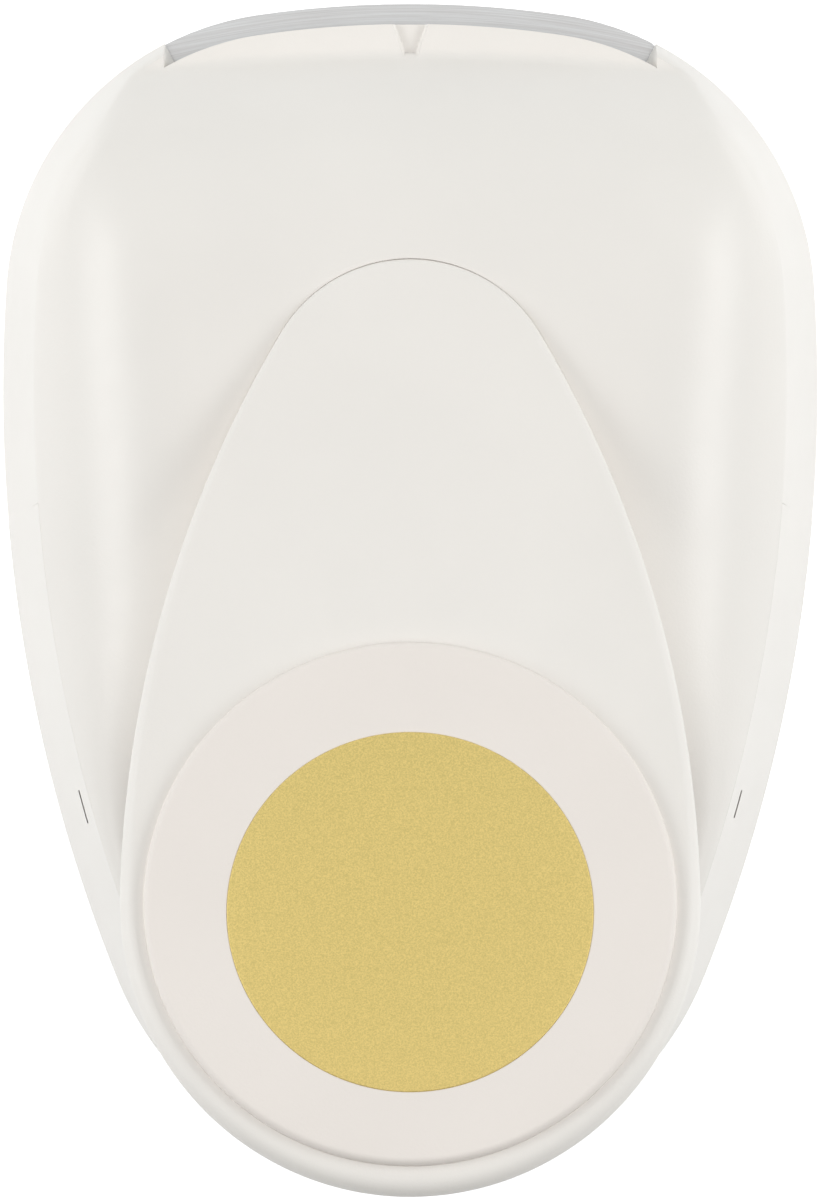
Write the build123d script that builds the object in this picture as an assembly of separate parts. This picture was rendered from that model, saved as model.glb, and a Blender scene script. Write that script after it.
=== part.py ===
"""Palm-press craft punch that cuts a 50 mm circle out of paper.

A white egg-shaped body lies on the table with the paper slot at the front. A long lever on
top turns about a pin under the front slope. Its shoe presses a round cutter down through a
guide block into a steel die plate, and two coil springs lift everything again.

X runs across, Y from the paper slot to the hand, Z up. The origin is the bottom centre.
Places along Y are stations, counted from the front edge of the body.
"""
import os
from math import atan2, cos, degrees, hypot, pi, radians, sin, sqrt, tan

from build123d import *

os.makedirs("parts", exist_ok=True)

# Outline of the body, seen from above.
BODY_LENGTH = 144.0
SIDE_ROOM = 25.0
WIDEST_STATION = 47.4
FRONT_ROUND = 130.0
SHOULDER_ROUND = 36.0
REAR_ROUND = 38.8

# Heights and skins of the two body shells.
WALL = 2.2
FLOOR = 2.5
BOTTOM_BEVEL = 1.2
DIE_TOP_Z = 12.0
CREASE_Z = 27.0
CREASE_INSET = 4.5
SHOULDER_CURVE = 20.3
SHOULDER_STEEP_ANGLE = 60.0
SHOULDER_FLAT_ANGLE = 9.0
SHOULDER_STEPS = 5
CROWN_INSET = 30.0
FIT_GAP = 0.3
SEAM_GAP = 0.15
OVERRUN = 5.0

# Front lip, slope and top line of the housing.
LIP_Z = 17.0
LIP_STATION = 6.2
LIP_RISE = 0.8
LIP_WALL = 5.5
LIP_CORNER = 1.5
SLOPE_ANGLE = 55.0
SLOPE_STATION = 17.0
SLOPE_CORNER = 7.0
REAR_TOP_Z = 28.6
REAR_TOP_RUN = 50.0
CREST_ROUND = 40.0
REAR_TOP_ROUND = 60.0
NOTCH_WIDTH = 60.3
NOTCH_DEPTH = 2.1
GROOVE_FRONT_WIDTH = 4.3
GROOVE_REAR_WIDTH = 1.7
GROOVE_LENGTH = 3.8
GROOVE_DEPTH = 0.8

# Paper gap, die and cutter.
CIRCLE_DIAMETER = 50.0
CUT_STATION = 39.0
PAPER_GAP = 1.4
DIE_THICKNESS = 2.4
DIE_REAR_MARGIN = 12.0
DIE_CORNER = 1.2
STOP_MARGIN = 2.5
SEAM_STATION = 63.8
SEAM_LEAN = 2.2
CLAMP_LENGTH = 12.0
RUNNING_GAP = 0.05
BLOCK_THICKNESS = 5.0
BLOCK_FLANGE = 1.8
BLOCK_INSET = 6.5
BLOCK_FRONT_STATION = 10.5
FLANGE_FRONT_STATION = 7.8
EDGE_START = 0.3
CUTTER_HEIGHT = 5.7
CUTTER_RIM = 3.0
CUTTER_HOLLOW = 3.7
SHEAR_RISE = 0.8
CHUTE_GAP = 1.5
CHUTE_WALL = 2.5

# Carrier, posts and springs.
CARRIER_NECK_RADIUS = 15.5
CARRIER_NECK = 3.4
CARRIER_BAR = 2.6
CARRIER_BAR_LENGTH = 22.0
CARRIER_CORNER = 5.0
TOWER_MARGIN = 6.0
TOWER_RADIUS = 6.5
TOWER_HEIGHT = 5.6
TOWER_ROOF = 2.6
POST_RADIUS = 2.5
POST_SOCKET = 3.8
POST_RISE = 1.8
CLIP_THICKNESS = 0.7
CLIP_GROOVE = 0.4
CLIP_RADIUS = 4.0
CLIP_MOUTH_ANGLE = 70.0
SPRING_RADIUS = 4.0
SPRING_WIRE = 1.0
SPRING_POCKET_GAP = 0.7
SPRING_TURNS = 5
WEAR_RADIUS = 10.0
WEAR_THICKNESS = 0.8

# Pivot.
PIVOT_STATION = 21.0
PIVOT_Z = 24.0
PIN_RADIUS = 1.75
EAR_RADIUS = 3.4
EAR_MARGIN = 3.2
EAR_THICKNESS = 4.2
PRESS_ANGLE = 12.0
BUSH_WALL = 0.8
BUSH_FLANGE_RADIUS = 3.3
PIN_END = 2.0

# Lever shell.
APEX_STATION = 32.5
APEX_Z = 37.3
LEVER_TILT = 14.0
LEVER_FRONT_ROUND = 17.8
LEVER_FLANK_ROUND = 135.0
LEVER_REAR_ROUND = 34.0
LEVER_WALL = 2.2
LEVER_TOP = 2.5
LEVER_EDGE_ROUND = 2.6
LEVER_GAP = 0.25
RIM_DEPTH = 7.5
SKIRT_FRONT_Z = 31.3
SKIRT_REAR_Z = 27.6
SKIRT_STEP_RUN = 65.0
SKIRT_STEP_LENGTH = 11.0
TONGUE_WIDTH = 12.0
TONGUE_LENGTH = 3.5
TONGUE_THICKNESS = 1.8
TONGUE_DEPTH = 3.3

# Pad.
PAD_RUN = 35.4
PAD_RADIUS = 31.2
PAD_SEAT = 0.8
PAD_RISE = 1.2
PAD_EDGE_ROUND = 0.7
DISC_RADIUS = 21.4
DISC_THICKNESS = 0.5
DISC_RISE = 0.1
DISC_SHIFT = 1.3
PAD_LEG_RADIUS = 2.0
PAD_LEG_OFFSET = 25.0
PAD_LEG_COUNT = 3

# Lever arm and shoe.
ARM_WIDTH = 35.0
ARM_STEEL = 1.5
ARM_CHEEK = 2.0
ARM_TOP_Z = 30.8
ARM_CHEEK_DEPTH = 2.8
ARM_FRONT_STATION = 23.0
ARM_BEND_STATION = 56.0
ARM_PAD_RUN = 44.0
ARM_END_RUN = 22.0
ARM_PAD_DROP = 6.0
ARM_CHEEK_TAIL = 5.0
ARM_UNDERCUT = 6.0
SHOE_WIDTH = 24.0
SHOE_LENGTH = 12.0
SHOE_ROUND = 14.0
SHOE_GAP = 0.1

# Fasteners.
SCREW_RADIUS = 1.5
SCREW_FIT = 0.05
SCREW_HEAD_RADIUS = 2.8
SCREW_HEAD = 1.8
HEAD_POCKET_GAP = 0.3
SCREW_TIP_GAP = 0.4
DIE_SCREW_MARGIN = 18.0
DIE_SCREW_INNER_SPREAD = 22.0
MOUNT_SCREW_SPREAD = 43.0
MOUNT_SCREW_FRONT = 8.5
POST_WALL = 3.0
GUIDE_SCREW_FRONT_MARGIN = 17.0
GUIDE_SCREW_FRONT = 19.5
GUIDE_SCREW_REAR_MARGIN = 12.0
GUIDE_SCREW_REAR = 56.0
GUIDE_SCREW_BITE = 8.0
BOSS_RADIUS = 3.2
HOUSING_SCREW_MARGIN = 14.0
HOUSING_SCREW_GAP = 5.5
HOUSING_POST_Z = 14.0
HOUSING_SCREW_BITE = 5.0
CARRIER_SCREW_SPREAD = 22.6
CARRIER_SCREW_PITCH = 13.0
CARRIER_SCREW_BITE = 1.6
SHOE_SCREW_SPREAD = 9.0
SHOE_SCREW_STATION = 41.0
SHOE_SCREW_BITE = 2.4
LEVER_SCREW_SPREAD = 18.0
LEVER_SCREW_FRONT = 51.0
LEVER_SCREW_RUN = 32.0
LEVER_SCREW_BITE = 4.0
LEVER_BOSS_RADIUS = 3.6

# Snap hooks and their windows.
HOOK_RUN = 45.6
HOOK_LENGTH = 4.0
HOOK_THICKNESS = 1.1
HOOK_DEPTH = 8.7
HOOK_BOTTOM_Z = 20.5
WINDOW_BOTTOM_Z = 22.8
WINDOW_TOP_Z = 24.4
BARB_REACH = 4.0

# Worked-out places.
HALF_LENGTH = BODY_LENGTH / 2
CUT_RADIUS = CIRCLE_DIAMETER / 2
HALF_WIDTH = CUT_RADIUS + SIDE_ROOM
BODY_WIDTH = 2 * HALF_WIDTH
FLANK_RUN = BODY_LENGTH - REAR_ROUND - WIDEST_STATION
FLANK_ROUND = (HALF_WIDTH ** 2 + FLANK_RUN ** 2 - REAR_ROUND ** 2) / (2 * (HALF_WIDTH - REAR_ROUND))
SLOT_TOP_Z = DIE_TOP_Z + PAPER_GAP
DIE_BOTTOM_Z = DIE_TOP_Z - DIE_THICKNESS
BLOCK_TOP_Z = SLOT_TOP_Z + BLOCK_THICKNESS
STOP_STATION = CUT_STATION + CUT_RADIUS + STOP_MARGIN
CLAMP_STATION = STOP_STATION + CLAMP_LENGTH
CUTTER_BOTTOM_Z = SLOT_TOP_Z + EDGE_START
CUTTER_TOP_Z = CUTTER_BOTTOM_Z + CUTTER_HEIGHT
BAR_BOTTOM_Z = CUTTER_TOP_Z + CARRIER_NECK
BAR_TOP_Z = BAR_BOTTOM_Z + CARRIER_BAR
TOWER_TOP_Z = BAR_TOP_Z + TOWER_HEIGHT
SPRING_TOP_Z = TOWER_TOP_Z - TOWER_ROOF
SHOE_BOTTOM_Z = BAR_TOP_Z + WEAR_THICKNESS + SHOE_GAP
TILT_RISE = tan(radians(LEVER_TILT))
DIE_SCREW_STATION = STOP_STATION + CLAMP_LENGTH / 2
HOUSING_SCREW_STATION = CLAMP_STATION + HOUSING_SCREW_GAP
DIE_REAR_WIDTH = BODY_WIDTH - 2 * DIE_REAR_MARGIN
TOWER_OFFSET = CUT_RADIUS + TOWER_MARGIN
CARRIER_BAR_REACH = TOWER_OFFSET + TOWER_RADIUS
EAR_INSIDE = ARM_WIDTH / 2 + EAR_MARGIN
REAR_TOP_STATION = BODY_LENGTH - REAR_TOP_RUN
SKIRT_STEP_START = BODY_LENGTH - SKIRT_STEP_RUN
PAD_STATION = BODY_LENGTH - PAD_RUN
ARM_PAD_STATION = BODY_LENGTH - ARM_PAD_RUN
ARM_END_STATION = BODY_LENGTH - ARM_END_RUN
LEVER_SCREW_REAR = BODY_LENGTH - LEVER_SCREW_RUN
HOOK_STATION = BODY_LENGTH - HOOK_RUN
FLANK_DROP = FLANK_ROUND - sqrt(FLANK_ROUND ** 2 - (HOOK_STATION - WIDEST_STATION) ** 2)
HOOK_INNER = HALF_WIDTH - FLANK_DROP - HOOK_DEPTH


def y_at(station):
    """Y of a station counted from the front edge."""
    return station - HALF_LENGTH


def lever_z(station):
    """Height of the lever's top surface at a station."""
    return APEX_Z + (station - APEX_STATION) * TILT_RISE


def meeting(first, first_reach, second, second_reach, side):
    """Point at two distances from two centres, on the right (1) or left (-1) of their line."""
    run = (second[0] - first[0], second[1] - first[1])
    span = hypot(*run)
    along = (first_reach ** 2 - second_reach ** 2 + span ** 2) / (2 * span)
    across = side * sqrt(first_reach ** 2 - along ** 2)
    x = first[0] + (along * run[0] + across * run[1]) / span
    y = first[1] + (along * run[1] - across * run[0]) / span
    return x, y


def bearing(start, end):
    """Angle in degrees of the line from one point to another."""
    return degrees(atan2(end[1] - start[1], end[0] - start[0]))


def mirrored_face(arcs):
    """Face between a chain of right-hand arcs and their mirror image."""
    right = [CenterArc(centre, radius, start, end - start) for centre, radius, start, end in arcs]
    left = [mirror(edge, about=Plane.YZ) for edge in right]
    return make_face([edge.edge() for edge in right + left])


def body_outline(inset):
    """Egg outline of the body, drawn in by an inset."""
    front = (0, y_at(FRONT_ROUND))
    flank = (HALF_WIDTH - FLANK_ROUND, y_at(WIDEST_STATION))
    rear = (0, y_at(BODY_LENGTH - REAR_ROUND))
    shoulder = meeting(front, FRONT_ROUND - SHOULDER_ROUND, flank, FLANK_ROUND - SHOULDER_ROUND, -1)
    return mirrored_face([
        (front, FRONT_ROUND - inset, -90, bearing(front, shoulder)),
        (shoulder, SHOULDER_ROUND - inset, bearing(front, shoulder), bearing(flank, shoulder)),
        (flank, FLANK_ROUND - inset, bearing(flank, shoulder), bearing(flank, rear)),
        (rear, REAR_ROUND - inset, bearing(flank, rear), 90),
    ])


def lever_outline(inset):
    """Teardrop outline of the lever, drawn in by an inset."""
    front = (0, y_at(APEX_STATION + LEVER_FRONT_ROUND))
    rear = (0, y_at(PAD_STATION))
    reach = LEVER_FLANK_ROUND - LEVER_FRONT_ROUND
    flank = meeting(front, reach, rear, LEVER_FLANK_ROUND - LEVER_REAR_ROUND, -1)
    return mirrored_face([
        (front, LEVER_FRONT_ROUND - inset, -90, bearing(flank, front)),
        (flank, LEVER_FLANK_ROUND - inset, bearing(flank, front), bearing(flank, rear)),
        (rear, LEVER_REAR_ROUND - inset, bearing(flank, rear), 90),
    ])


def column(face, low, high):
    """Upright prism of a plan face between two heights."""
    return extrude(Pos(0, 0, low) * face, amount=high - low)


def side_slab(points, reach):
    """Prism across X of a polygon given as stations and heights."""
    corners = [(y_at(station), z) for station, z in points]
    return extrude(Plane.YZ * make_face(Polyline(*corners, close=True)), amount=reach, both=True)


def block(x_low, x_high, station_low, station_high, z_low, z_high):
    """Box between limits."""
    size = (x_high - x_low, station_high - station_low, z_high - z_low)
    middle = ((x_low + x_high) / 2, y_at((station_low + station_high) / 2), (z_low + z_high) / 2)
    return Pos(*middle) * Box(*size)


def drum(x, station, radius, low, high):
    """Upright cylinder between two heights."""
    return Pos(x, y_at(station), (low + high) / 2) * Cylinder(radius, high - low)


def across_pivot(radius):
    """Cylinder on the pivot's axis, right through the body."""
    return Pos(0, y_at(PIVOT_STATION), PIVOT_Z) * Rot(0, 90, 0) * Cylinder(radius, BODY_WIDTH)


def front_disc(station, low, high):
    """Disc whose rim runs parallel to the front edge, a station behind it."""
    return drum(0, FRONT_ROUND, FRONT_ROUND - station, low, high)


def section(angle, skin):
    """Inset and height of the rounded shoulder where its slope has an angle."""
    steep = radians(SHOULDER_STEEP_ANGLE)
    curve = SHOULDER_CURVE - skin
    inset = CREASE_INSET + SHOULDER_CURVE * sin(steep) - curve * sin(radians(angle))
    return inset, CREASE_Z - SHOULDER_CURVE * cos(steep) + curve * cos(radians(angle))


def top_form(skin, front):
    """Turned form of lip, front slope and top, whose curves follow the front edge."""
    lip_z = LIP_Z + LIP_RISE
    slope_z = lever_z(SLOPE_STATION)
    foot = SLOPE_STATION - (slope_z - lip_z) / tan(radians(SLOPE_ANGLE))
    shift = skin * tan(radians(SLOPE_ANGLE / 2))
    stations = [(front, 0), (front, LIP_Z - skin), (foot + shift, lip_z - skin)]
    stations += [(SLOPE_STATION + shift, slope_z - skin), (APEX_STATION, APEX_Z - skin)]
    stations += [(REAR_TOP_STATION, REAR_TOP_Z - skin), (FRONT_ROUND, REAR_TOP_Z - skin)]
    stations += [(FRONT_ROUND, 0)]
    points = [(FRONT_ROUND - station, z) for station, z in stations]
    rounds = [0, 0, LIP_CORNER, SLOPE_CORNER, CREST_ROUND, REAR_TOP_ROUND, 0, 0]
    profile = make_face(FilletPolyline(*points, radius=rounds, close=True))
    centre = (0, y_at(FRONT_ROUND), 0)
    upright = Plane(origin=centre, x_dir=(1, 0, 0), z_dir=(0, -1, 0))
    return revolve(upright * profile, axis=Axis(centre, (0, 0, 1)))


def body_form(skin, low, front):
    """Closed form of the whole body, drawn in by a skin all over."""
    turn = SHOULDER_STEEP_ANGLE - SHOULDER_FLAT_ANGLE
    angles = [SHOULDER_STEEP_ANGLE - turn * step / SHOULDER_STEPS for step in range(SHOULDER_STEPS + 1)]
    rings = [section(angle, skin) for angle in angles]
    faces = [Pos(0, 0, z) * body_outline(inset) for inset, z in rings]
    crown_rise = (CROWN_INSET - rings[-1][0]) * tan(radians(SHOULDER_FLAT_ANGLE))
    crown = Pos(0, 0, rings[-1][1] + crown_rise) * body_outline(CROWN_INSET)
    form = column(body_outline(skin), low, SLOT_TOP_Z)
    form += loft([Pos(0, 0, SLOT_TOP_Z) * body_outline(skin), faces[0]], ruled=True)
    form += loft(faces)
    form += loft([faces[-1], crown], ruled=True)
    return form & top_form(skin, front)


def screw(bite, head_radius=SCREW_HEAD_RADIUS):
    """Screw with its seat at the origin, shank along +Z and head below."""
    shank = Pos(0, 0, bite / 2) * Cylinder(SCREW_RADIUS, bite)
    return shank + Pos(0, 0, -SCREW_HEAD / 2) * Cylinder(head_radius, SCREW_HEAD)


def flush_screw(bite):
    """Countersunk screw with its flat at the origin and its shank along +Z."""
    rise = SCREW_HEAD_RADIUS - SCREW_RADIUS
    cone = Pos(0, 0, rise / 2) * Cone(SCREW_HEAD_RADIUS, SCREW_RADIUS, rise)
    return cone + Pos(0, 0, (rise + bite) / 2) * Cylinder(SCREW_RADIUS, bite - rise)


def flush_hole(bite):
    """Hole for a countersunk screw, with its fit and a gap at the tip."""
    rise = SCREW_HEAD_RADIUS - SCREW_RADIUS
    cone = Pos(0, 0, rise / 2) * Cone(SCREW_HEAD_RADIUS + SCREW_FIT, SCREW_RADIUS + SCREW_FIT, rise)
    depth = bite + SCREW_TIP_GAP
    return cone + Pos(0, 0, depth / 2) * Cylinder(SCREW_RADIUS + SCREW_FIT, depth)


def pair(spread, station, z):
    """Two places left and right of the centre line."""
    return [Pos(side * spread / 2, y_at(station), z) for side in (-1, 1)]


def ring_of(places, solid):
    """Copies of a solid at several places, as one group."""
    return Compound(children=[place * solid for place in places])


lever_frame = Plane(
    origin=(0, y_at(APEX_STATION), APEX_Z),
    x_dir=(1, 0, 0),
    z_dir=(0, -sin(radians(LEVER_TILT)), cos(radians(LEVER_TILT))),
)


def in_lever(x, station, depth):
    """Place under the lever's top surface, turned with it."""
    along = (station - APEX_STATION) / cos(radians(LEVER_TILT))
    return lever_frame.location * Pos(x, along, -depth)


def base_region():
    """Everything below the joint of base and housing."""
    front = -OVERRUN
    rear = BODY_LENGTH + OVERRUN
    return side_slab([
        (front, 0), (rear, 0), (rear, CREASE_Z), (SEAM_STATION - SEAM_LEAN, CREASE_Z),
        (SEAM_STATION, DIE_TOP_Z), (front, DIE_TOP_Z),
    ], BODY_WIDTH)


def housing_region():
    """Everything above the joint of base and housing, and above the paper slot."""
    front = -OVERRUN
    rear = BODY_LENGTH + OVERRUN
    lean = SEAM_LEAN * PAPER_GAP / (CREASE_Z - DIE_TOP_Z)
    return side_slab([
        (front, SLOT_TOP_Z), (SEAM_STATION - lean - SEAM_GAP, SLOT_TOP_Z),
        (SEAM_STATION - SEAM_LEAN - SEAM_GAP, CREASE_Z), (rear, CREASE_Z),
        (rear, BODY_LENGTH), (front, BODY_LENGTH),
    ], BODY_WIDTH)


mount_places = pair(MOUNT_SCREW_SPREAD, MOUNT_SCREW_FRONT, 0)
mount_places += pair(MOUNT_SCREW_SPREAD, DIE_SCREW_STATION, 0)
die_places = pair(BODY_WIDTH - 2 * DIE_SCREW_MARGIN, DIE_SCREW_STATION, DIE_BOTTOM_Z)
die_places += pair(DIE_SCREW_INNER_SPREAD, DIE_SCREW_STATION, DIE_BOTTOM_Z)
guide_places = pair(BODY_WIDTH - 2 * GUIDE_SCREW_FRONT_MARGIN, GUIDE_SCREW_FRONT, SLOT_TOP_Z)
guide_places += pair(BODY_WIDTH - 2 * GUIDE_SCREW_REAR_MARGIN, GUIDE_SCREW_REAR, SLOT_TOP_Z)
joint_places = pair(BODY_WIDTH - 2 * HOUSING_SCREW_MARGIN, HOUSING_SCREW_STATION, 0)
head_seat_z = SCREW_HEAD + HEAD_POCKET_GAP


def die_outline(gap):
    """Plan of the die plate: a tongue to the front edge and a wide bar behind the stop."""
    half = NOTCH_WIDTH / 2 + gap
    wide = DIE_REAR_WIDTH / 2 + gap
    front, stop, rear = y_at(-OVERRUN), y_at(STOP_STATION - gap), y_at(CLAMP_STATION + gap)
    points = [(-half, front), (half, front), (half, stop), (wide, stop), (wide, rear)]
    points += [(-wide, rear), (-wide, stop), (-half, stop)]
    return make_face(Polyline(*points, close=True))


def make_die_plate():
    """Steel plate with the round hole that the cutter shears into."""
    plate = column(die_outline(0), DIE_BOTTOM_Z, DIE_TOP_Z)
    plate &= column(body_outline(0), DIE_BOTTOM_Z, DIE_TOP_Z)
    upright = plate.edges().filter_by(Axis.Z).sort_by(Axis.Y)
    plate = fillet(upright[1:3], DIE_CORNER)
    plate -= drum(0, CUT_STATION, CUT_RADIUS + RUNNING_GAP, 0, SLOT_TOP_Z)
    for place in mount_places:
        plate -= place * Cylinder(SCREW_RADIUS + SCREW_FIT, BODY_LENGTH)
    for place in die_places:
        plate -= place * flush_hole(BLOCK_THICKNESS)
    return plate


def make_base_shell(shell):
    """Moulded tub with the chute under the die, screw posts and high rear walls."""
    base = shell & base_region()
    base -= column(body_outline(CREASE_INSET + WALL), WINDOW_TOP_Z, BODY_LENGTH)
    floor = loft([body_outline(BOTTOM_BEVEL), Pos(0, 0, BOTTOM_BEVEL) * body_outline(0)], ruled=True)
    base += floor + column(body_outline(0), BOTTOM_BEVEL, FLOOR)
    chute = CUT_RADIUS + CHUTE_GAP
    base += drum(0, CUT_STATION, chute + CHUTE_WALL, 0, DIE_BOTTOM_Z)
    for place in mount_places:
        x, y = place.position.X, place.position.Y
        base += Pos(x, y, DIE_BOTTOM_Z / 2) * Cylinder(SCREW_HEAD_RADIUS + POST_WALL / 2, DIE_BOTTOM_Z)
    for place in joint_places:
        x, y = place.position.X, place.position.Y
        base += Pos(x, y, HOUSING_POST_Z / 2) * Cylinder(SCREW_HEAD_RADIUS + POST_WALL / 2, HOUSING_POST_Z)
    base -= drum(0, CUT_STATION, chute, -OVERRUN, DIE_TOP_Z)
    base -= column(die_outline(FIT_GAP), DIE_BOTTOM_Z, DIE_TOP_Z)
    for place in mount_places + joint_places:
        base -= place * Pos(0, 0, head_seat_z / 2) * Cylinder(SCREW_HEAD_RADIUS + SCREW_FIT, head_seat_z)
        base -= place * Cylinder(SCREW_RADIUS + SCREW_FIT, BODY_LENGTH)
    half = HOOK_LENGTH / 2
    for side in (-1, 1):
        near, far = sorted((side * HOOK_INNER, side * HALF_WIDTH))
        base -= block(near, far, HOOK_STATION - half, HOOK_STATION + half, WINDOW_BOTTOM_Z, WINDOW_TOP_Z)
    return base


def make_upper_housing(outer, shell):
    """Moulded cover with lip, slope, shoulders and the opening for the lever."""
    bosses = Part()
    for place in guide_places:
        x, y = place.position.X, place.position.Y
        tall = BODY_WIDTH
        bosses += Pos(x, y, BLOCK_TOP_Z + tall / 2) * Cylinder(BOSS_RADIUS, tall)
    for place in joint_places:
        x, y = place.position.X, place.position.Y
        tall = BODY_WIDTH
        bosses += Pos(x, y, HOUSING_POST_Z + SEAM_GAP + tall / 2) * Cylinder(BOSS_RADIUS, tall)
    housing = (shell & housing_region()) + (bosses & outer)
    half = HOOK_LENGTH / 2 - FIT_GAP
    for side in (-1, 1):
        near, far = sorted((side * HOOK_INNER, side * (HOOK_INNER + HOOK_THICKNESS)))
        tab = block(near, far, HOOK_STATION - half, HOOK_STATION + half, HOOK_BOTTOM_Z, BODY_LENGTH)
        housing += tab & outer
        near, far = sorted((side * HOOK_INNER, side * (HOOK_INNER + BARB_REACH)))
        low, high = WINDOW_BOTTOM_Z + FIT_GAP, WINDOW_TOP_Z - FIT_GAP
        housing += block(near, far, HOOK_STATION - half, HOOK_STATION + half, low, high)
    opening = column(lever_outline(-LEVER_GAP), CREASE_Z - OVERRUN, BODY_LENGTH)
    opening &= column(body_outline(CREASE_INSET + WALL), CREASE_Z - OVERRUN, BODY_LENGTH)
    housing -= opening
    notch = block(-NOTCH_WIDTH / 2, NOTCH_WIDTH / 2, -OVERRUN, LIP_STATION, 0, BODY_LENGTH)
    housing -= notch - column(body_outline(NOTCH_DEPTH), 0, BODY_LENGTH)
    flare = (GROOVE_FRONT_WIDTH - GROOVE_REAR_WIDTH) * NOTCH_DEPTH / GROOVE_LENGTH
    mouth, tail = (GROOVE_FRONT_WIDTH + flare) / 2, GROOVE_REAR_WIDTH / 2
    near, far = y_at(0), y_at(NOTCH_DEPTH + GROOVE_LENGTH)
    groove = make_face(Polyline((-mouth, near), (mouth, near), (tail, far), (-tail, far), close=True))
    housing -= column(groove, LIP_Z - GROOVE_DEPTH, BODY_LENGTH)
    for place in guide_places:
        housing -= place * flush_hole(BLOCK_THICKNESS + GUIDE_SCREW_BITE)
    for place in joint_places:
        bite = HOUSING_POST_Z + HOUSING_SCREW_BITE + SCREW_TIP_GAP
        housing -= place * Pos(0, 0, bite / 2) * Cylinder(SCREW_RADIUS + SCREW_FIT, bite)
    return housing


def make_guide_block():
    """Cast block that guides the cutter, with two ears for the pivot pin."""
    body = column(body_outline(BLOCK_INSET), DIE_TOP_Z, BLOCK_TOP_Z)
    body &= front_disc(BLOCK_FRONT_STATION, DIE_TOP_Z, BLOCK_TOP_Z)
    flange_top = SLOT_TOP_Z + BLOCK_FLANGE
    wall_inset = WALL + (flange_top - SLOT_TOP_Z) * CREASE_INSET / (CREASE_Z - SLOT_TOP_Z)
    flange = column(body_outline(wall_inset + FIT_GAP), SLOT_TOP_Z, flange_top)
    flange &= front_disc(FLANGE_FRONT_STATION, SLOT_TOP_Z, flange_top)
    flange &= block(-HALF_WIDTH, HALF_WIDTH, 0, SEAM_STATION - SEAM_LEAN, SLOT_TOP_Z, flange_top)
    body += flange
    body &= block(-HALF_WIDTH, HALF_WIDTH, 0, CLAMP_STATION, DIE_TOP_Z, BLOCK_TOP_Z)
    body -= block(-HALF_WIDTH, HALF_WIDTH, 0, STOP_STATION, DIE_TOP_Z - OVERRUN, SLOT_TOP_Z)
    wide = DIE_REAR_WIDTH / 2
    for side in (-1, 1):
        near, far = sorted((side * wide, side * HALF_WIDTH))
        body -= block(near, far, STOP_STATION, BODY_LENGTH, 0, BODY_WIDTH)
        near, far = sorted((side * EAR_INSIDE, side * (EAR_INSIDE + EAR_THICKNESS)))
        low, high = PIVOT_STATION - EAR_RADIUS, PIVOT_STATION + EAR_RADIUS
        body += block(near, far, low, high, SLOT_TOP_Z, PIVOT_Z)
        spot = Pos((near + far) / 2, y_at(PIVOT_STATION), PIVOT_Z)
        body += spot * Rot(0, 90, 0) * Cylinder(EAR_RADIUS, EAR_THICKNESS)
        post_hole = BLOCK_TOP_Z - POST_SOCKET
        body -= drum(side * TOWER_OFFSET, CUT_STATION, POST_RADIUS + SCREW_FIT, post_hole, BODY_WIDTH)
    body -= drum(0, CUT_STATION, CUT_RADIUS + RUNNING_GAP, 0, BLOCK_TOP_Z)
    body -= across_pivot(PIN_RADIUS + SCREW_FIT)
    for place in die_places:
        body -= place * flush_hole(DIE_THICKNESS + BLOCK_THICKNESS)
    for place in mount_places[2:]:
        body -= place * Cylinder(SCREW_RADIUS + SCREW_FIT, 2 * DIE_TOP_Z + BLOCK_THICKNESS)
    for place in guide_places:
        body -= place * flush_hole(BLOCK_THICKNESS + GUIDE_SCREW_BITE)
    return body


def make_cutter():
    """Hollow punch whose rim is hollowed to an arc, so that it shears from both sides."""
    middle = drum(0, CUT_STATION, CUT_RADIUS, CUTTER_BOTTOM_Z, CUTTER_TOP_Z)
    middle -= drum(0, CUT_STATION, CUT_RADIUS - CUTTER_RIM, 0, CUTTER_BOTTOM_Z + CUTTER_HOLLOW)
    sweep_radius = (CUT_RADIUS ** 2 + SHEAR_RISE ** 2) / (2 * SHEAR_RISE)
    hollow_z = CUTTER_BOTTOM_Z + SHEAR_RISE - sweep_radius
    hollow = Pos(0, y_at(CUT_STATION), hollow_z) * Rot(90, 0, 0) * Cylinder(sweep_radius, BODY_WIDTH)
    middle -= hollow
    for place in carrier_screw_places(CUTTER_TOP_Z):
        middle -= place * Cylinder(SCREW_RADIUS + SCREW_FIT, 2 * (CARRIER_SCREW_BITE + SCREW_TIP_GAP))
    return middle


def carrier_screw_places(z):
    """Four places for the screws between carrier and cutter."""
    front, rear = CUT_STATION - CARRIER_SCREW_PITCH / 2, CUT_STATION + CARRIER_SCREW_PITCH / 2
    return pair(CARRIER_SCREW_SPREAD, front, z) + pair(CARRIER_SCREW_SPREAD, rear, z)


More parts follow.
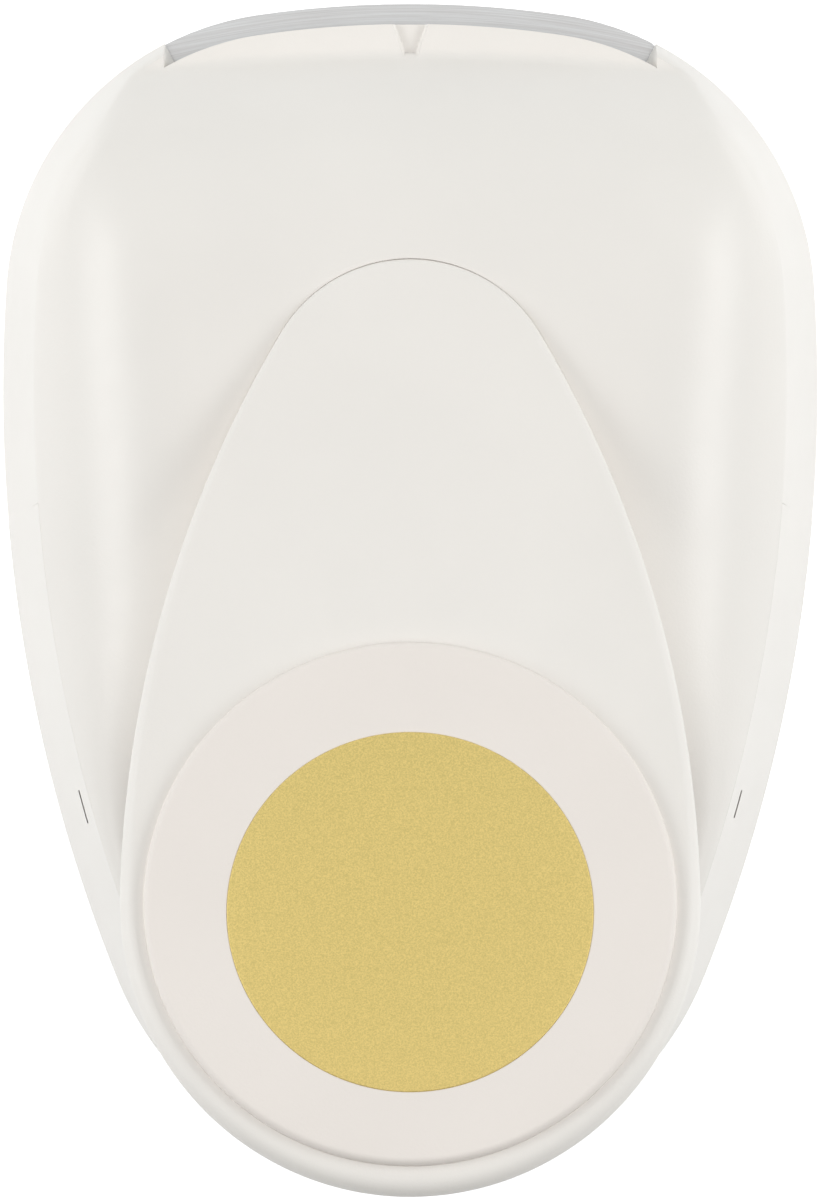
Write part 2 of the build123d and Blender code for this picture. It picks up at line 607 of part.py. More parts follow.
def make_cutter_carrier():
    """Cast bridge over the cutter with a guide tower at each end."""
    half = CARRIER_BAR_LENGTH / 2
    reach = CARRIER_BAR_REACH
    bar = block(-reach, reach, CUT_STATION - half, CUT_STATION + half, BAR_BOTTOM_Z, BAR_TOP_Z)
    bar = fillet(bar.edges().filter_by(Axis.Z), CARRIER_CORNER)
    bar += drum(0, CUT_STATION, CARRIER_NECK_RADIUS, CUTTER_TOP_Z, BAR_BOTTOM_Z)
    pocket = SPRING_RADIUS + SPRING_WIRE / 2 + SPRING_POCKET_GAP
    for side in (-1, 1):
        x = side * TOWER_OFFSET
        bar += drum(x, CUT_STATION, TOWER_RADIUS, BAR_BOTTOM_Z, TOWER_TOP_Z)
        bar -= drum(x, CUT_STATION, pocket, 0, SPRING_TOP_Z)
        bar -= drum(x, CUT_STATION, POST_RADIUS + RUNNING_GAP, 0, BODY_WIDTH)
    for place in carrier_screw_places(BAR_TOP_Z):
        bar -= place * Cylinder(SCREW_RADIUS + SCREW_FIT, BODY_WIDTH)
        bar -= place * Cylinder(SCREW_HEAD_RADIUS + SCREW_FIT, 2 * SCREW_HEAD)
    return bar


def make_guide_post(side):
    """Steel post with a groove for its retaining ring."""
    top = TOWER_TOP_Z + POST_RISE
    post = drum(side * TOWER_OFFSET, CUT_STATION, POST_RADIUS, BLOCK_TOP_Z - POST_SOCKET, top)
    low = TOWER_TOP_Z + SEAM_GAP
    groove = drum(side * TOWER_OFFSET, CUT_STATION, POST_RADIUS * 2, low, low + CLIP_THICKNESS)
    groove -= drum(side * TOWER_OFFSET, CUT_STATION, POST_RADIUS - CLIP_GROOVE, 0, BODY_WIDTH)
    return post - groove


def clip(inner):
    """Flat open retaining ring round the origin."""
    ring = Cylinder(CLIP_RADIUS, CLIP_THICKNESS - 2 * SCREW_FIT)
    ring -= Cylinder(inner + SCREW_FIT, CLIP_THICKNESS)
    wide = 2 * CLIP_RADIUS * sin(radians(CLIP_MOUTH_ANGLE / 2))
    return ring - Pos(0, -CLIP_RADIUS, 0) * Box(wide, 2 * CLIP_RADIUS, CLIP_THICKNESS)


def biarc(start, start_way, end, end_way):
    """Two tangent arcs between two points with given directions."""
    run = end - start
    both = start_way + end_way
    turn = 2 * (1 - start_way.dot(end_way))
    push = (sqrt(run.dot(both) ** 2 + turn * run.dot(run)) - run.dot(both)) / turn
    middle = (start + start_way * push + end - end_way * push) / 2
    first = TangentArc(start, middle, tangent=start_way)
    second = TangentArc(middle, end, tangent=first % 1)
    return [first.edge(), second.edge()]


def make_return_spring(side):
    """Open coil between guide block and tower, one tube on half-turn biarcs."""
    wire = SPRING_WIRE / 2
    low = BLOCK_TOP_Z + wire
    rise = SPRING_TOP_Z - wire - low
    climb = rise / (2 * pi * SPRING_TURNS)
    stops = 2 * SPRING_TURNS
    points, ways = [], []
    for step in range(stops + 1):
        angle = pi * step
        points.append(Vector(SPRING_RADIUS * cos(angle), SPRING_RADIUS * sin(angle), climb * angle))
        ways.append(Vector(-SPRING_RADIUS * sin(angle), SPRING_RADIUS * cos(angle), climb).normalized())
    edges = []
    for step in range(stops):
        edges += biarc(points[step], ways[step], points[step + 1], ways[step + 1])
    path = Wire(edges)
    start = Plane(origin=points[0], z_dir=ways[0])
    coil = sweep(start * Circle(wire), path=path)
    least = rise / SPRING_TURNS - SPRING_WIRE
    print("least gap between turns of the return spring:", round(least, 2), "mm")
    return Pos(side * TOWER_OFFSET, y_at(CUT_STATION), low) * coil


def make_pivot_pin():
    """Steel pin across both ears, grooved near its ends."""
    half = EAR_INSIDE + EAR_THICKNESS + PIN_END
    pin = Cylinder(PIN_RADIUS, 2 * half)
    groove = Cylinder(PIN_RADIUS * 2, CLIP_THICKNESS) - Cylinder(PIN_RADIUS - CLIP_GROOVE, CLIP_THICKNESS)
    for side in (-1, 1):
        pin -= Pos(0, 0, side * clip_offset) * groove
    return Pos(0, y_at(PIVOT_STATION), PIVOT_Z) * Rot(0, 90, 0) * pin


clip_offset = EAR_INSIDE + EAR_THICKNESS + SEAM_GAP + CLIP_THICKNESS / 2


def make_pivot_clips():
    """Retaining rings on both ends of the pin."""
    ring = clip(PIN_RADIUS - CLIP_GROOVE)
    spots = [Pos(side * clip_offset, y_at(PIVOT_STATION), PIVOT_Z) * Rot(0, 90, 0) for side in (-1, 1)]
    return ring_of(spots, ring)


def make_pivot_bushes():
    """Bushes in the arm's cheeks, with a flange that fills the room to the ear."""
    inner = PIN_RADIUS + RUNNING_GAP
    cheek = ARM_WIDTH / 2
    room = EAR_INSIDE - cheek - SEAM_GAP
    bushes = []
    for side in (-1, 1):
        sleeve = Pos(0, 0, -ARM_CHEEK / 2) * Cylinder(inner + BUSH_WALL, ARM_CHEEK)
        flange = Pos(0, 0, room / 2) * Cylinder(BUSH_FLANGE_RADIUS, room)
        bush = sleeve + flange - Cylinder(inner, BODY_WIDTH)
        bushes.append(Pos(side * cheek, y_at(PIVOT_STATION), PIVOT_Z) * Rot(0, side * 90, 0) * bush)
    return Compound(children=bushes)


def arm_line(depth):
    """Stations and heights of the arm's upper line, moved down by a depth."""
    bend = ARM_TOP_Z
    pad = lever_z(ARM_PAD_STATION) - ARM_PAD_DROP
    end = lever_z(ARM_END_STATION) - ARM_PAD_DROP
    return [(ARM_BEND_STATION, bend - depth), (ARM_PAD_STATION, pad - depth), (ARM_END_STATION, end - depth)]


def make_lever_arm():
    """Folded steel channel from the pivot to the pad."""
    line = arm_line(0)
    low = arm_line(ARM_CHEEK_TAIL)
    cheek_z = ARM_TOP_Z - ARM_CHEEK_DEPTH
    front = [(ARM_FRONT_STATION, cheek_z), (ARM_FRONT_STATION, ARM_TOP_Z)]
    bend_station, bend_z = low[0]
    under = [(bend_station + ARM_UNDERCUT / 2, bend_z + ARM_UNDERCUT / 3)]
    under += [(bend_station - ARM_UNDERCUT, cheek_z)]
    outline = front + line + [low[2], low[1]] + under
    arm = side_slab(outline, ARM_WIDTH / 2)
    web = arm_line(ARM_STEEL)
    hollow = [(0, 0), (0, ARM_TOP_Z - ARM_STEEL)] + web + [(BODY_LENGTH, web[2][1]), (BODY_LENGTH, 0)]
    arm -= side_slab(hollow, ARM_WIDTH / 2 - ARM_CHEEK)
    for side in (-1, 1):
        outer_face = side * ARM_WIDTH / 2
        near, far = sorted((outer_face, outer_face - side * ARM_CHEEK))
        spot = Pos((near + far) / 2, y_at(PIVOT_STATION), PIVOT_Z)
        eye = spot * Rot(0, 90, 0) * Cylinder(EAR_RADIUS, ARM_CHEEK)
        rear = PIVOT_STATION + EAR_RADIUS
        neck = [(PIVOT_STATION - EAR_RADIUS, PIVOT_Z), (rear, PIVOT_Z), (rear + ARM_CHEEK, cheek_z)]
        neck += [(rear + ARM_CHEEK, ARM_TOP_Z), (ARM_FRONT_STATION, ARM_TOP_Z)]
        slab = side_slab(neck, BODY_WIDTH) & block(near, far, 0, BODY_LENGTH, 0, BODY_WIDTH)
        arm += eye + slab
    bore = PIN_RADIUS + RUNNING_GAP + BUSH_WALL + SCREW_FIT
    arm -= across_pivot(bore)
    for place in shoe_screw_places + lever_front_places:
        arm -= place * Cylinder(SCREW_RADIUS + SCREW_FIT, 2 * ARM_CHEEK_DEPTH)
    for place in lever_rear_places:
        arm -= place * Cylinder(SCREW_RADIUS + SCREW_FIT, 2 * ARM_CHEEK_DEPTH)
    return arm


shoe_screw_places = pair(SHOE_SCREW_SPREAD, SHOE_SCREW_STATION, ARM_TOP_Z)
shoe_screw_places = [place * Rot(180, 0, 0) for place in shoe_screw_places]
lever_front_places = pair(LEVER_SCREW_SPREAD, LEVER_SCREW_FRONT, ARM_TOP_Z - ARM_STEEL)
arm_pad_depth = ARM_PAD_DROP * cos(radians(LEVER_TILT)) + ARM_STEEL * cos(radians(LEVER_TILT))
lever_rear_places = [
    in_lever(side * LEVER_SCREW_SPREAD / 2, LEVER_SCREW_REAR, arm_pad_depth) for side in (-1, 1)
]


def make_press_shoe():
    """Block under the arm with a round foot that rolls on the wear plate."""
    top = ARM_TOP_Z - ARM_STEEL
    half = SHOE_LENGTH / 2
    reach = SHOE_WIDTH / 2
    shoe = block(-reach, reach, CUT_STATION - half, CUT_STATION + half, SHOE_BOTTOM_Z, top)
    foot = Rot(0, 90, 0) * Cylinder(SHOE_ROUND, SHOE_WIDTH)
    shoe &= Pos(0, y_at(CUT_STATION), SHOE_BOTTOM_Z + SHOE_ROUND) * foot
    for place in shoe_screw_places:
        bite = 2 * (ARM_STEEL + SHOE_SCREW_BITE)
        shoe -= place * Cylinder(SCREW_RADIUS + SCREW_FIT, bite)
    return shoe


def swing_inset():
    """How far the deep skirt stays inside the body's outline, so that it clears the rear wall."""
    reach = BODY_LENGTH - CREASE_INSET - WALL - PIVOT_STATION
    turn = radians(PRESS_ANGLE)
    height = (REAR_TOP_Z - PIVOT_Z + reach * sin(turn)) / cos(turn)
    swing = height * sin(turn) - reach * (1 - cos(turn))
    return CREASE_INSET + WALL + swing + FIT_GAP


def make_lever_shell():
    """Moulded lever: top plate with rolled edge, short rim all round and a deep skirt inside."""
    tall = BODY_LENGTH
    above = lever_frame.location * Pos(0, 0, tall) * Box(2 * tall, 4 * tall, 2 * tall)
    solid = column(lever_outline(0), 0, tall) - above
    top_edges = solid.faces().sort_by(Axis.Z)[-1].edges()
    solid = fillet(top_edges, LEVER_EDGE_ROUND)
    rim_drop = RIM_DEPTH / cos(radians(LEVER_TILT))
    plate_drop = LEVER_TOP / cos(radians(LEVER_TILT))
    front, rear = 0, BODY_LENGTH + OVERRUN
    rim_start = APEX_STATION + (SKIRT_FRONT_Z + rim_drop - APEX_Z) / TILT_RISE
    rim_zone = side_slab([
        (rim_start, SKIRT_FRONT_Z), (rear, lever_z(rear) - rim_drop), (rear, tall), (rim_start, tall),
    ], HALF_WIDTH)
    skirt_zone = side_slab([
        (front, SKIRT_FRONT_Z), (SKIRT_STEP_START, SKIRT_FRONT_Z),
        (SKIRT_STEP_START + SKIRT_STEP_LENGTH, SKIRT_REAR_Z),
        (rear, SKIRT_REAR_Z), (rear, tall), (front, tall),
    ], HALF_WIDTH)
    under_plate = side_slab([
        (front, 0), (rear, 0), (rear, lever_z(rear) - plate_drop), (front, lever_z(front) - plate_drop),
    ], HALF_WIDTH)
    inset = swing_inset()
    lever_hollow = column(lever_outline(LEVER_WALL), 0, tall)
    deep = column(lever_outline(0), 0, tall) & column(body_outline(inset), 0, tall)
    deep_hollow = lever_hollow & column(body_outline(inset + LEVER_WALL), 0, tall)
    channel = lever_hollow - column(body_outline(inset), 0, tall)
    shell = (solid & rim_zone) + (solid & skirt_zone & deep)
    shell -= (deep_hollow + channel) & under_plate
    screw_hole = Cylinder(SCREW_RADIUS + SCREW_FIT, 2 * (ARM_STEEL + LEVER_SCREW_BITE + SCREW_TIP_GAP))
    for place in lever_front_places:
        x, y = place.position.X, place.position.Y
        boss = Pos(x, y, ARM_TOP_Z + tall / 2) * Cylinder(LEVER_BOSS_RADIUS, tall)
        shell += boss & solid
        shell -= place * screw_hole
    for place in lever_rear_places:
        lift = ARM_STEEL * cos(radians(LEVER_TILT))
        boss = place * Pos(0, 0, lift + tall / 2) * Cylinder(LEVER_BOSS_RADIUS, tall)
        shell += boss & solid
        shell -= place * screw_hole
    tongue = Box(TONGUE_WIDTH, 2 * TONGUE_LENGTH, TONGUE_THICKNESS)
    shell += lever_frame.location * Pos(0, 0, -TONGUE_DEPTH - TONGUE_THICKNESS / 2) * tongue
    seat = in_lever(0, PAD_STATION, 0)
    shell -= seat * Cylinder(PAD_RADIUS + SCREW_FIT, 2 * PAD_SEAT)
    for place in leg_places(PAD_SEAT):
        shell -= place * Cylinder(PAD_LEG_RADIUS + SCREW_FIT, 2 * (LEVER_TOP + FIT_GAP))
    return shell


def leg_places(depth):
    """Ring of places for the pad's pegs."""
    step = 360 / PAD_LEG_COUNT
    centre = in_lever(0, PAD_STATION, depth)
    return [centre * Rot(0, 0, 90 + step * n) * Pos(PAD_LEG_OFFSET, 0, 0) for n in range(PAD_LEG_COUNT)]


def make_pad_cap():
    """Round pad set into the lever, with a rolled edge and three pegs."""
    tall = PAD_SEAT + PAD_RISE
    cap = Pos(0, 0, (PAD_RISE - PAD_SEAT) / 2) * Cylinder(PAD_RADIUS, tall)
    cap = fillet(cap.edges().sort_by(Axis.Z)[-1], PAD_EDGE_ROUND)
    recess = DISC_THICKNESS - DISC_RISE
    cap -= Pos(0, DISC_SHIFT, PAD_RISE - recess / 2) * Cylinder(DISC_RADIUS + SCREW_FIT, recess)
    cap = in_lever(0, PAD_STATION, 0) * cap
    leg = LEVER_TOP - PAD_SEAT
    for place in leg_places(PAD_SEAT + leg / 2):
        cap += place * Cylinder(PAD_LEG_RADIUS, leg)
    return cap


def make_pad_disc():
    """Thin round disc let into the pad."""
    middle = DISC_THICKNESS / 2 - DISC_RISE - PAD_RISE
    return in_lever(0, PAD_STATION, middle) * Pos(0, DISC_SHIFT, 0) * Cylinder(DISC_RADIUS, DISC_THICKNESS)


whole = body_form(0, BOTTOM_BEVEL, -OVERRUN)
hollow = body_form(WALL, FLOOR, LIP_WALL)
shell = whole - hollow

pieces = {
    "base_shell": make_base_shell(shell),
    "upper_housing": make_upper_housing(whole, shell),
    "die_plate": make_die_plate(),
    "guide_block": make_guide_block(),
    "die_screws": ring_of(die_places, flush_screw(DIE_THICKNESS + BLOCK_THICKNESS - SCREW_TIP_GAP)),
    "die_mount_screws": ring_of(
        [Pos(p.position.X, p.position.Y, head_seat_z) for p in mount_places],
        screw(DIE_TOP_Z - head_seat_z - SCREW_TIP_GAP),
    ),
    "guide_screws": ring_of(guide_places, flush_screw(BLOCK_THICKNESS + GUIDE_SCREW_BITE)),
    "housing_screws": ring_of(
        [Pos(p.position.X, p.position.Y, head_seat_z) for p in joint_places],
        screw(HOUSING_POST_Z + HOUSING_SCREW_BITE - head_seat_z),
    ),
    "cutter": make_cutter(),
    "cutter_carrier": make_cutter_carrier(),
    "carrier_screws": ring_of(
        [place * Rot(180, 0, 0) for place in carrier_screw_places(BAR_TOP_Z - SCREW_HEAD)],
        screw(CARRIER_BAR + CARRIER_NECK - SCREW_HEAD + CARRIER_SCREW_BITE),
    ),
    "wear_plate": drum(0, CUT_STATION, WEAR_RADIUS, BAR_TOP_Z, BAR_TOP_Z + WEAR_THICKNESS),
    "guide_post_left": make_guide_post(-1),
    "guide_post_right": make_guide_post(1),
    "return_spring_left": make_return_spring(-1),
    "return_spring_right": make_return_spring(1),
    "post_clips": ring_of(
        pair(2 * TOWER_OFFSET, CUT_STATION, TOWER_TOP_Z + SEAM_GAP + CLIP_THICKNESS / 2),
        clip(POST_RADIUS - CLIP_GROOVE),
    ),
    "pivot_pin": make_pivot_pin(),
    "pivot_clips": make_pivot_clips(),
    "pivot_bushes": make_pivot_bushes(),
    "lever_arm": make_lever_arm(),
    "press_shoe": make_press_shoe(),
    "shoe_screws": ring_of(shoe_screw_places, screw(ARM_STEEL + SHOE_SCREW_BITE - SCREW_TIP_GAP)),
    "lever_screws": ring_of(lever_front_places + lever_rear_places, screw(ARM_STEEL + LEVER_SCREW_BITE)),
    "lever_shell": make_lever_shell(),
    "pad_cap": make_pad_cap(),
    "pad_disc": make_pad_disc(),
}

turned = radians(PRESS_ANGLE)
shoe_lift = SHOE_BOTTOM_Z + SHOE_ROUND - PIVOT_Z
stroke = (CUT_STATION - PIVOT_STATION) * sin(turned) + shoe_lift * (1 - cos(turned))
print("cutter stroke:", round(stroke, 3), "mm; ratio:", round(stroke / turned / 1000, 6), "m per rad")
print("pivot y, z:", y_at(PIVOT_STATION), PIVOT_Z, "swing inset:", round(swing_inset(), 2))

for name, piece in pieces.items():
    export_step(piece, f"parts/{name}.step")
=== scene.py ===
"""Circle punch: a white plastic craft punch for paper, with a steel die plate, a long tilted lever
and a gold disc in the middle of its palm pad. Lengths in the sections are in millimetres."""

import bmesh
import bpy
import numpy as np
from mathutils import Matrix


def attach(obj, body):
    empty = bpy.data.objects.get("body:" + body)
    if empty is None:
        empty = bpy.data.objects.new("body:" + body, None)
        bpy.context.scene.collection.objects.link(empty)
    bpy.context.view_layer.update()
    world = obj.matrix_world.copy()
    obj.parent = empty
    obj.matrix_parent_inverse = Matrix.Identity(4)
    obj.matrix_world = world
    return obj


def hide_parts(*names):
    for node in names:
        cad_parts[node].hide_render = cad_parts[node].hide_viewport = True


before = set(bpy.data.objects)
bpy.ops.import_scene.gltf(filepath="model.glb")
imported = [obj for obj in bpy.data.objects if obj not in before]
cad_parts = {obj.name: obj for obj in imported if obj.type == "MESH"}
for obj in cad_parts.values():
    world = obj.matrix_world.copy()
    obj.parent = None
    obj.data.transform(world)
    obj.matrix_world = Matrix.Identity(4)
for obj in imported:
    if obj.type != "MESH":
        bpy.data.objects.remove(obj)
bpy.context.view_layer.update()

scene = bpy.context.scene
scene.view_settings.view_transform = "Standard"

# Base tub. The white tray that everything is built on: a low wall along the paper slot, and a
# high leaning wall behind it. It is one injection moulding, with a small window on each side
# where a hook of the upper housing snaps in. The moulded solid stays; this is its outer wall.
MILLIMETRE = 0.001
HALF_LENGTH = 72.0
TUB_HALF_WIDTH = 50.0
TUB_WIDEST_Y = 47.4 - HALF_LENGTH
TUB_FRONT_ROUND = 130.0
TUB_SHOULDER_ROUND = 36.0
TUB_REAR_ROUND = 38.8
TUB_BEVEL = 1.2
TUB_RIM_Z = 12.0
LEAN_START_Z = 13.4
TUB_RIM_ROUND = 0.35
TUB_RIM_WIDTH = 2.4
TUB_LAND = 0.4
TUB_STEP_X = 30.45
TUB_STEP_Z = 9.58
CREASE_Z = 27.0
CREASE_INSET = 4.5
SEAM_LOW_Y = 63.8 - HALF_LENGTH
SEAM_HIGH_Y = 61.6 - HALF_LENGTH
WINDOW_FRONT_Y = 96.4 - HALF_LENGTH
WINDOW_REAR_Y = 100.4 - HALF_LENGTH
WINDOW_LOW_Z = 23.35
WINDOW_HIGH_Z = 23.85
SKIN_OUT = 0.03
TUB_COLUMNS = (40, 70, 50, 7, 60)
BEVEL_ROWS = 7
LOW_WALL_ROWS = 7
RIM_ROUND_ROWS = 5
BELOW_WINDOW_ROWS = 9
ABOVE_WINDOW_ROWS = 5
FINE_ANGLES = 18001
SHARP_ANGLE = 32.0
MERGE_DISTANCE = 1e-7
CLOUD_RANGE = (0.3, 0.7)
TONE_CLOUDS = 45
SHEEN_CLOUDS = 260
TONE_FALL = 0.975
PLASTIC_IOR = 1.49
PLASTIC_WHITE = (0.864, 0.828, 0.79, 1.0)


def circle_meeting(first, first_reach, second, second_reach):
    """The point at given distances from two centres: the law of cosines gives its place along
    their line, and Pythagoras its place to the right of it."""
    first, second = np.array(first), np.array(second)
    run = second - first
    span = np.hypot(*run)
    along = (first_reach ** 2 - second_reach ** 2 + span ** 2) / (2 * span)
    across = np.sqrt(first_reach ** 2 - along ** 2)
    return first + (along * run + across * np.array([run[1], -run[0]])) / span


def outline_arcs(parts):
    """Rows of centre x, centre y, radius and last angle of arcs that follow each other from the
    front (-90) to the rear (90). Neighbours touch on the line through their two centres."""
    lasts = []
    for (centre, radius), (after, after_radius) in zip(parts, parts[1:]):
        big, small = (centre, after) if radius > after_radius else (after, centre)
        lasts.append(np.degrees(np.arctan2(small[1] - big[1], small[0] - big[0])))
    lasts.append(90.0)
    return np.array([[*centre, radius, last] for (centre, radius), last in zip(parts, lasts)])


def on_outline(arcs, angle, inset):
    """Point whose outward direction has an angle: the arc's centre plus its radius, less the
    inset, along that direction. Past 90 degrees it is the mirror image of the right half."""
    folded = np.where(angle > 90, 180 - angle, angle)
    side = np.where(angle > 90, -1.0, 1.0)
    row = arcs[np.minimum(np.searchsorted(arcs[:, 3], folded), len(arcs) - 1)]
    reach = row[..., 2] - inset
    turn = np.radians(folded)
    return side * (row[..., 0] + reach * np.cos(turn)), row[..., 1] + reach * np.sin(turn)


def angle_at(arcs, inset, x=None, y=None):
    """Angle at which the right half of an outline crosses a given x, in front of its widest
    place, or a given y: read back from a fine table of its points."""
    fine = np.linspace(-90, 90, FINE_ANGLES)
    place_x, place_y = on_outline(arcs, fine, inset)
    if y is not None:
        return float(np.interp(y, place_y, fine))
    front = slice(0, int(np.argmax(place_x)))
    return float(np.interp(x, place_x[front], fine[front]))


def spread(arcs, marks, counts):
    """Angles between marks, evenly spaced along the outline: arc length is radius times turn,
    so even steps of length are turned back into angles. Each mark comes twice."""
    firsts = np.concatenate([[-90.0], arcs[:-1, 3]])
    lengths = np.concatenate([[0.0], np.cumsum(arcs[:, 2] * np.radians(arcs[:, 3] - firsts))])
    angles = np.concatenate([[-90.0], arcs[:, 3]])
    runs = np.interp(marks, angles, lengths)
    pieces = [np.linspace(a, b, count) for a, b, count in zip(runs, runs[1:], counts)]
    return np.interp(np.concatenate(pieces), lengths, angles)


def whole_loop(values, mirrored):
    """Rows of the right half, each followed by its mirror image without the centre columns."""
    return np.concatenate([values, mirrored[..., -2:0:-1]], axis=-1)


def grid_piece(name, x, y, z, ring=True, closed=False, skip=None):
    """Mesh of a grid of points, rows by columns, with a quad between each four neighbours. Rings
    join the last column to the first, a closed grid the last row to the first. Points that
    coincide are merged, and the faces are turned outwards."""
    rows, columns = x.shape
    corner = np.arange(rows * columns).reshape(rows, columns)
    if ring:
        corner = np.concatenate([corner, corner[:, :1]], axis=1)
    if closed:
        corner = np.concatenate([corner, corner[:1]], axis=0)
    quads = np.stack([corner[:-1, :-1], corner[:-1, 1:], corner[1:, 1:], corner[1:, :-1]], axis=-1)
    if skip is not None:
        quads = quads[~skip]
    points = np.stack([x, y, z], axis=-1).reshape(-1, 3) * MILLIMETRE
    mesh = bpy.data.meshes.new(name)
    mesh.from_pydata(points.tolist(), [], quads.reshape(-1, 4).tolist())
    form = bmesh.new()
    form.from_mesh(mesh)
    bmesh.ops.remove_doubles(form, verts=form.verts, dist=MERGE_DISTANCE)
    bmesh.ops.recalc_face_normals(form, faces=form.faces)
    form.to_mesh(mesh)
    form.free()
    mesh.shade_smooth()
    mesh.set_sharp_from_angle(angle=np.radians(SHARP_ANGLE))
    piece = bpy.data.objects.new(name, mesh)
    scene.collection.objects.link(piece)
    return piece


def mirrored_piece(name, rows):
    """Closed mesh of rows of points of the right half and their mirror images."""
    x, y, z = (np.array(part) for part in zip(*rows))
    return grid_piece(name, whole_loop(x, -x), whole_loop(y, y), whole_loop(z, z), closed=True)


def new_material(name):
    """An empty material with a Principled surface, and its tree, shader and coordinates."""
    material = bpy.data.materials.new(name)
    material.use_nodes = True
    tree = material.node_tree
    shader = tree.nodes["Principled BSDF"]
    return material, tree, shader, tree.nodes.new("ShaderNodeTexCoord").outputs["Object"]


def mixed_colours(tree, factor, low, high):
    """Colour that runs from one to another with a factor."""
    mix = tree.nodes.new("ShaderNodeMix")
    mix.data_type = "RGBA"
    tree.links.new(factor, mix.inputs["Factor"])
    mix.inputs["A"].default_value = low
    mix.inputs["B"].default_value = high
    return mix.outputs["Result"]


def ranged(tree, value, low, high, to_low, to_high):
    """A value mapped in proportion from one range to another and held within it."""
    node = tree.nodes.new("ShaderNodeMapRange")
    tree.links.new(value, node.inputs["Value"])
    sockets = ("From Min", "From Max", "To Min", "To Max")
    for socket, number in zip(sockets, (low, high, to_low, to_high)):
        node.inputs[socket].default_value = number
    return node.outputs["Result"]


def bumped(tree, shader, height, distance):
    """Relief on a shader's normal: a height pattern of 0 to 1 times a distance in metres."""
    bump = tree.nodes.new("ShaderNodeBump")
    bump.inputs["Strength"].default_value = 1.0
    bump.inputs["Distance"].default_value = distance
    tree.links.new(height, bump.inputs["Height"])
    tree.links.new(bump.outputs["Normal"], shader.inputs["Normal"])


def noise(tree, vector, scale, detail, roughness=0.5):
    """Soft cloud pattern; the scale is in cells per metre."""
    node = tree.nodes.new("ShaderNodeTexNoise")
    node.inputs["Scale"].default_value = scale
    node.inputs["Detail"].default_value = detail
    node.inputs["Roughness"].default_value = roughness
    tree.links.new(vector, node.inputs["Vector"])
    return node.outputs["Fac"]


def moulded_plastic(name, colour, sheen_low, sheen_high, grain, depth):
    """Moulded plastic: clouds shift its tone a little, its gloss follows a finer cloud, and a
    spark-eroded grain stands on it."""
    material, tree, shader, place = new_material(name)
    dark = tuple(part * TONE_FALL for part in colour[:3]) + (1.0,)
    tone = ranged(tree, noise(tree, place, TONE_CLOUDS, detail=4), *CLOUD_RANGE, 0, 1)
    tree.links.new(mixed_colours(tree, tone, dark, colour), shader.inputs["Base Color"])
    clouds = noise(tree, place, SHEEN_CLOUDS, detail=2)
    sheen = ranged(tree, clouds, *CLOUD_RANGE, sheen_low, sheen_high)
    tree.links.new(sheen, shader.inputs["Roughness"])
    shader.inputs["IOR"].default_value = PLASTIC_IOR
    bumped(tree, shader, noise(tree, place, grain, detail=2, roughness=0.6), depth)
    return material


front_centre = (0.0, TUB_FRONT_ROUND - HALF_LENGTH)
rear_y = HALF_LENGTH - TUB_REAR_ROUND
rear_run = rear_y - TUB_WIDEST_Y
flank_round = (
    (TUB_HALF_WIDTH ** 2 + rear_run ** 2 - TUB_REAR_ROUND ** 2)
    / (2 * (TUB_HALF_WIDTH - TUB_REAR_ROUND))
)
flank_centre = (TUB_HALF_WIDTH - flank_round, TUB_WIDEST_Y)
shoulder_centre = circle_meeting(
    flank_centre, flank_round - TUB_SHOULDER_ROUND,
    front_centre, TUB_FRONT_ROUND - TUB_SHOULDER_ROUND,
)
tub_arcs = outline_arcs([
    (front_centre, TUB_FRONT_ROUND), (shoulder_centre, TUB_SHOULDER_ROUND),
    (flank_centre, flank_round), ((0.0, rear_y), TUB_REAR_ROUND),
])

bevel_turn = np.linspace(0, np.pi / 2, BEVEL_ROWS)
rim_turn = np.linspace(0, np.pi / 2, RIM_ROUND_ROWS)
high_z = np.concatenate([
    np.linspace(TUB_RIM_Z, WINDOW_LOW_Z, BELOW_WINDOW_ROWS),
    np.linspace(WINDOW_HIGH_Z, CREASE_Z, ABOVE_WINDOW_ROWS),
])
high_inset = np.maximum(high_z - LEAN_START_Z, 0) * CREASE_INSET / (CREASE_Z - LEAN_START_Z)
high_z = np.append(high_z, CREASE_Z)
high_inset = np.append(high_inset, CREASE_INSET + TUB_LAND)
low_inset = np.concatenate([TUB_BEVEL * (1 - np.sin(bevel_turn)), np.zeros(LOW_WALL_ROWS - 1)])
low_z = np.concatenate([
    TUB_BEVEL * (1 - np.cos(bevel_turn)),
    np.linspace(TUB_BEVEL, TUB_RIM_Z - TUB_RIM_ROUND, LOW_WALL_ROWS)[1:],
])
flat_rows = len(high_z) - RIM_ROUND_ROWS
rim_inset = np.concatenate([
    TUB_RIM_ROUND * (1 - np.cos(rim_turn)), np.full(flat_rows, TUB_RIM_WIDTH),
])
rim_z = np.concatenate([
    TUB_RIM_Z - TUB_RIM_ROUND + TUB_RIM_ROUND * np.sin(rim_turn), np.full(flat_rows, TUB_RIM_Z),
]) + SKIN_OUT
rear_inset = np.concatenate([low_inset, high_inset])
rear_z = np.concatenate([low_z, high_z])
front_inset = np.concatenate([low_inset, rim_inset])
front_z = np.concatenate([low_z, rim_z])
step_inset = np.concatenate([low_inset, np.zeros(len(high_z))])
step_z = np.minimum(front_z, TUB_STEP_Z)
tub_zone = np.repeat([0, 1, 2, 2, 2], TUB_COLUMNS)
tub_rows = []
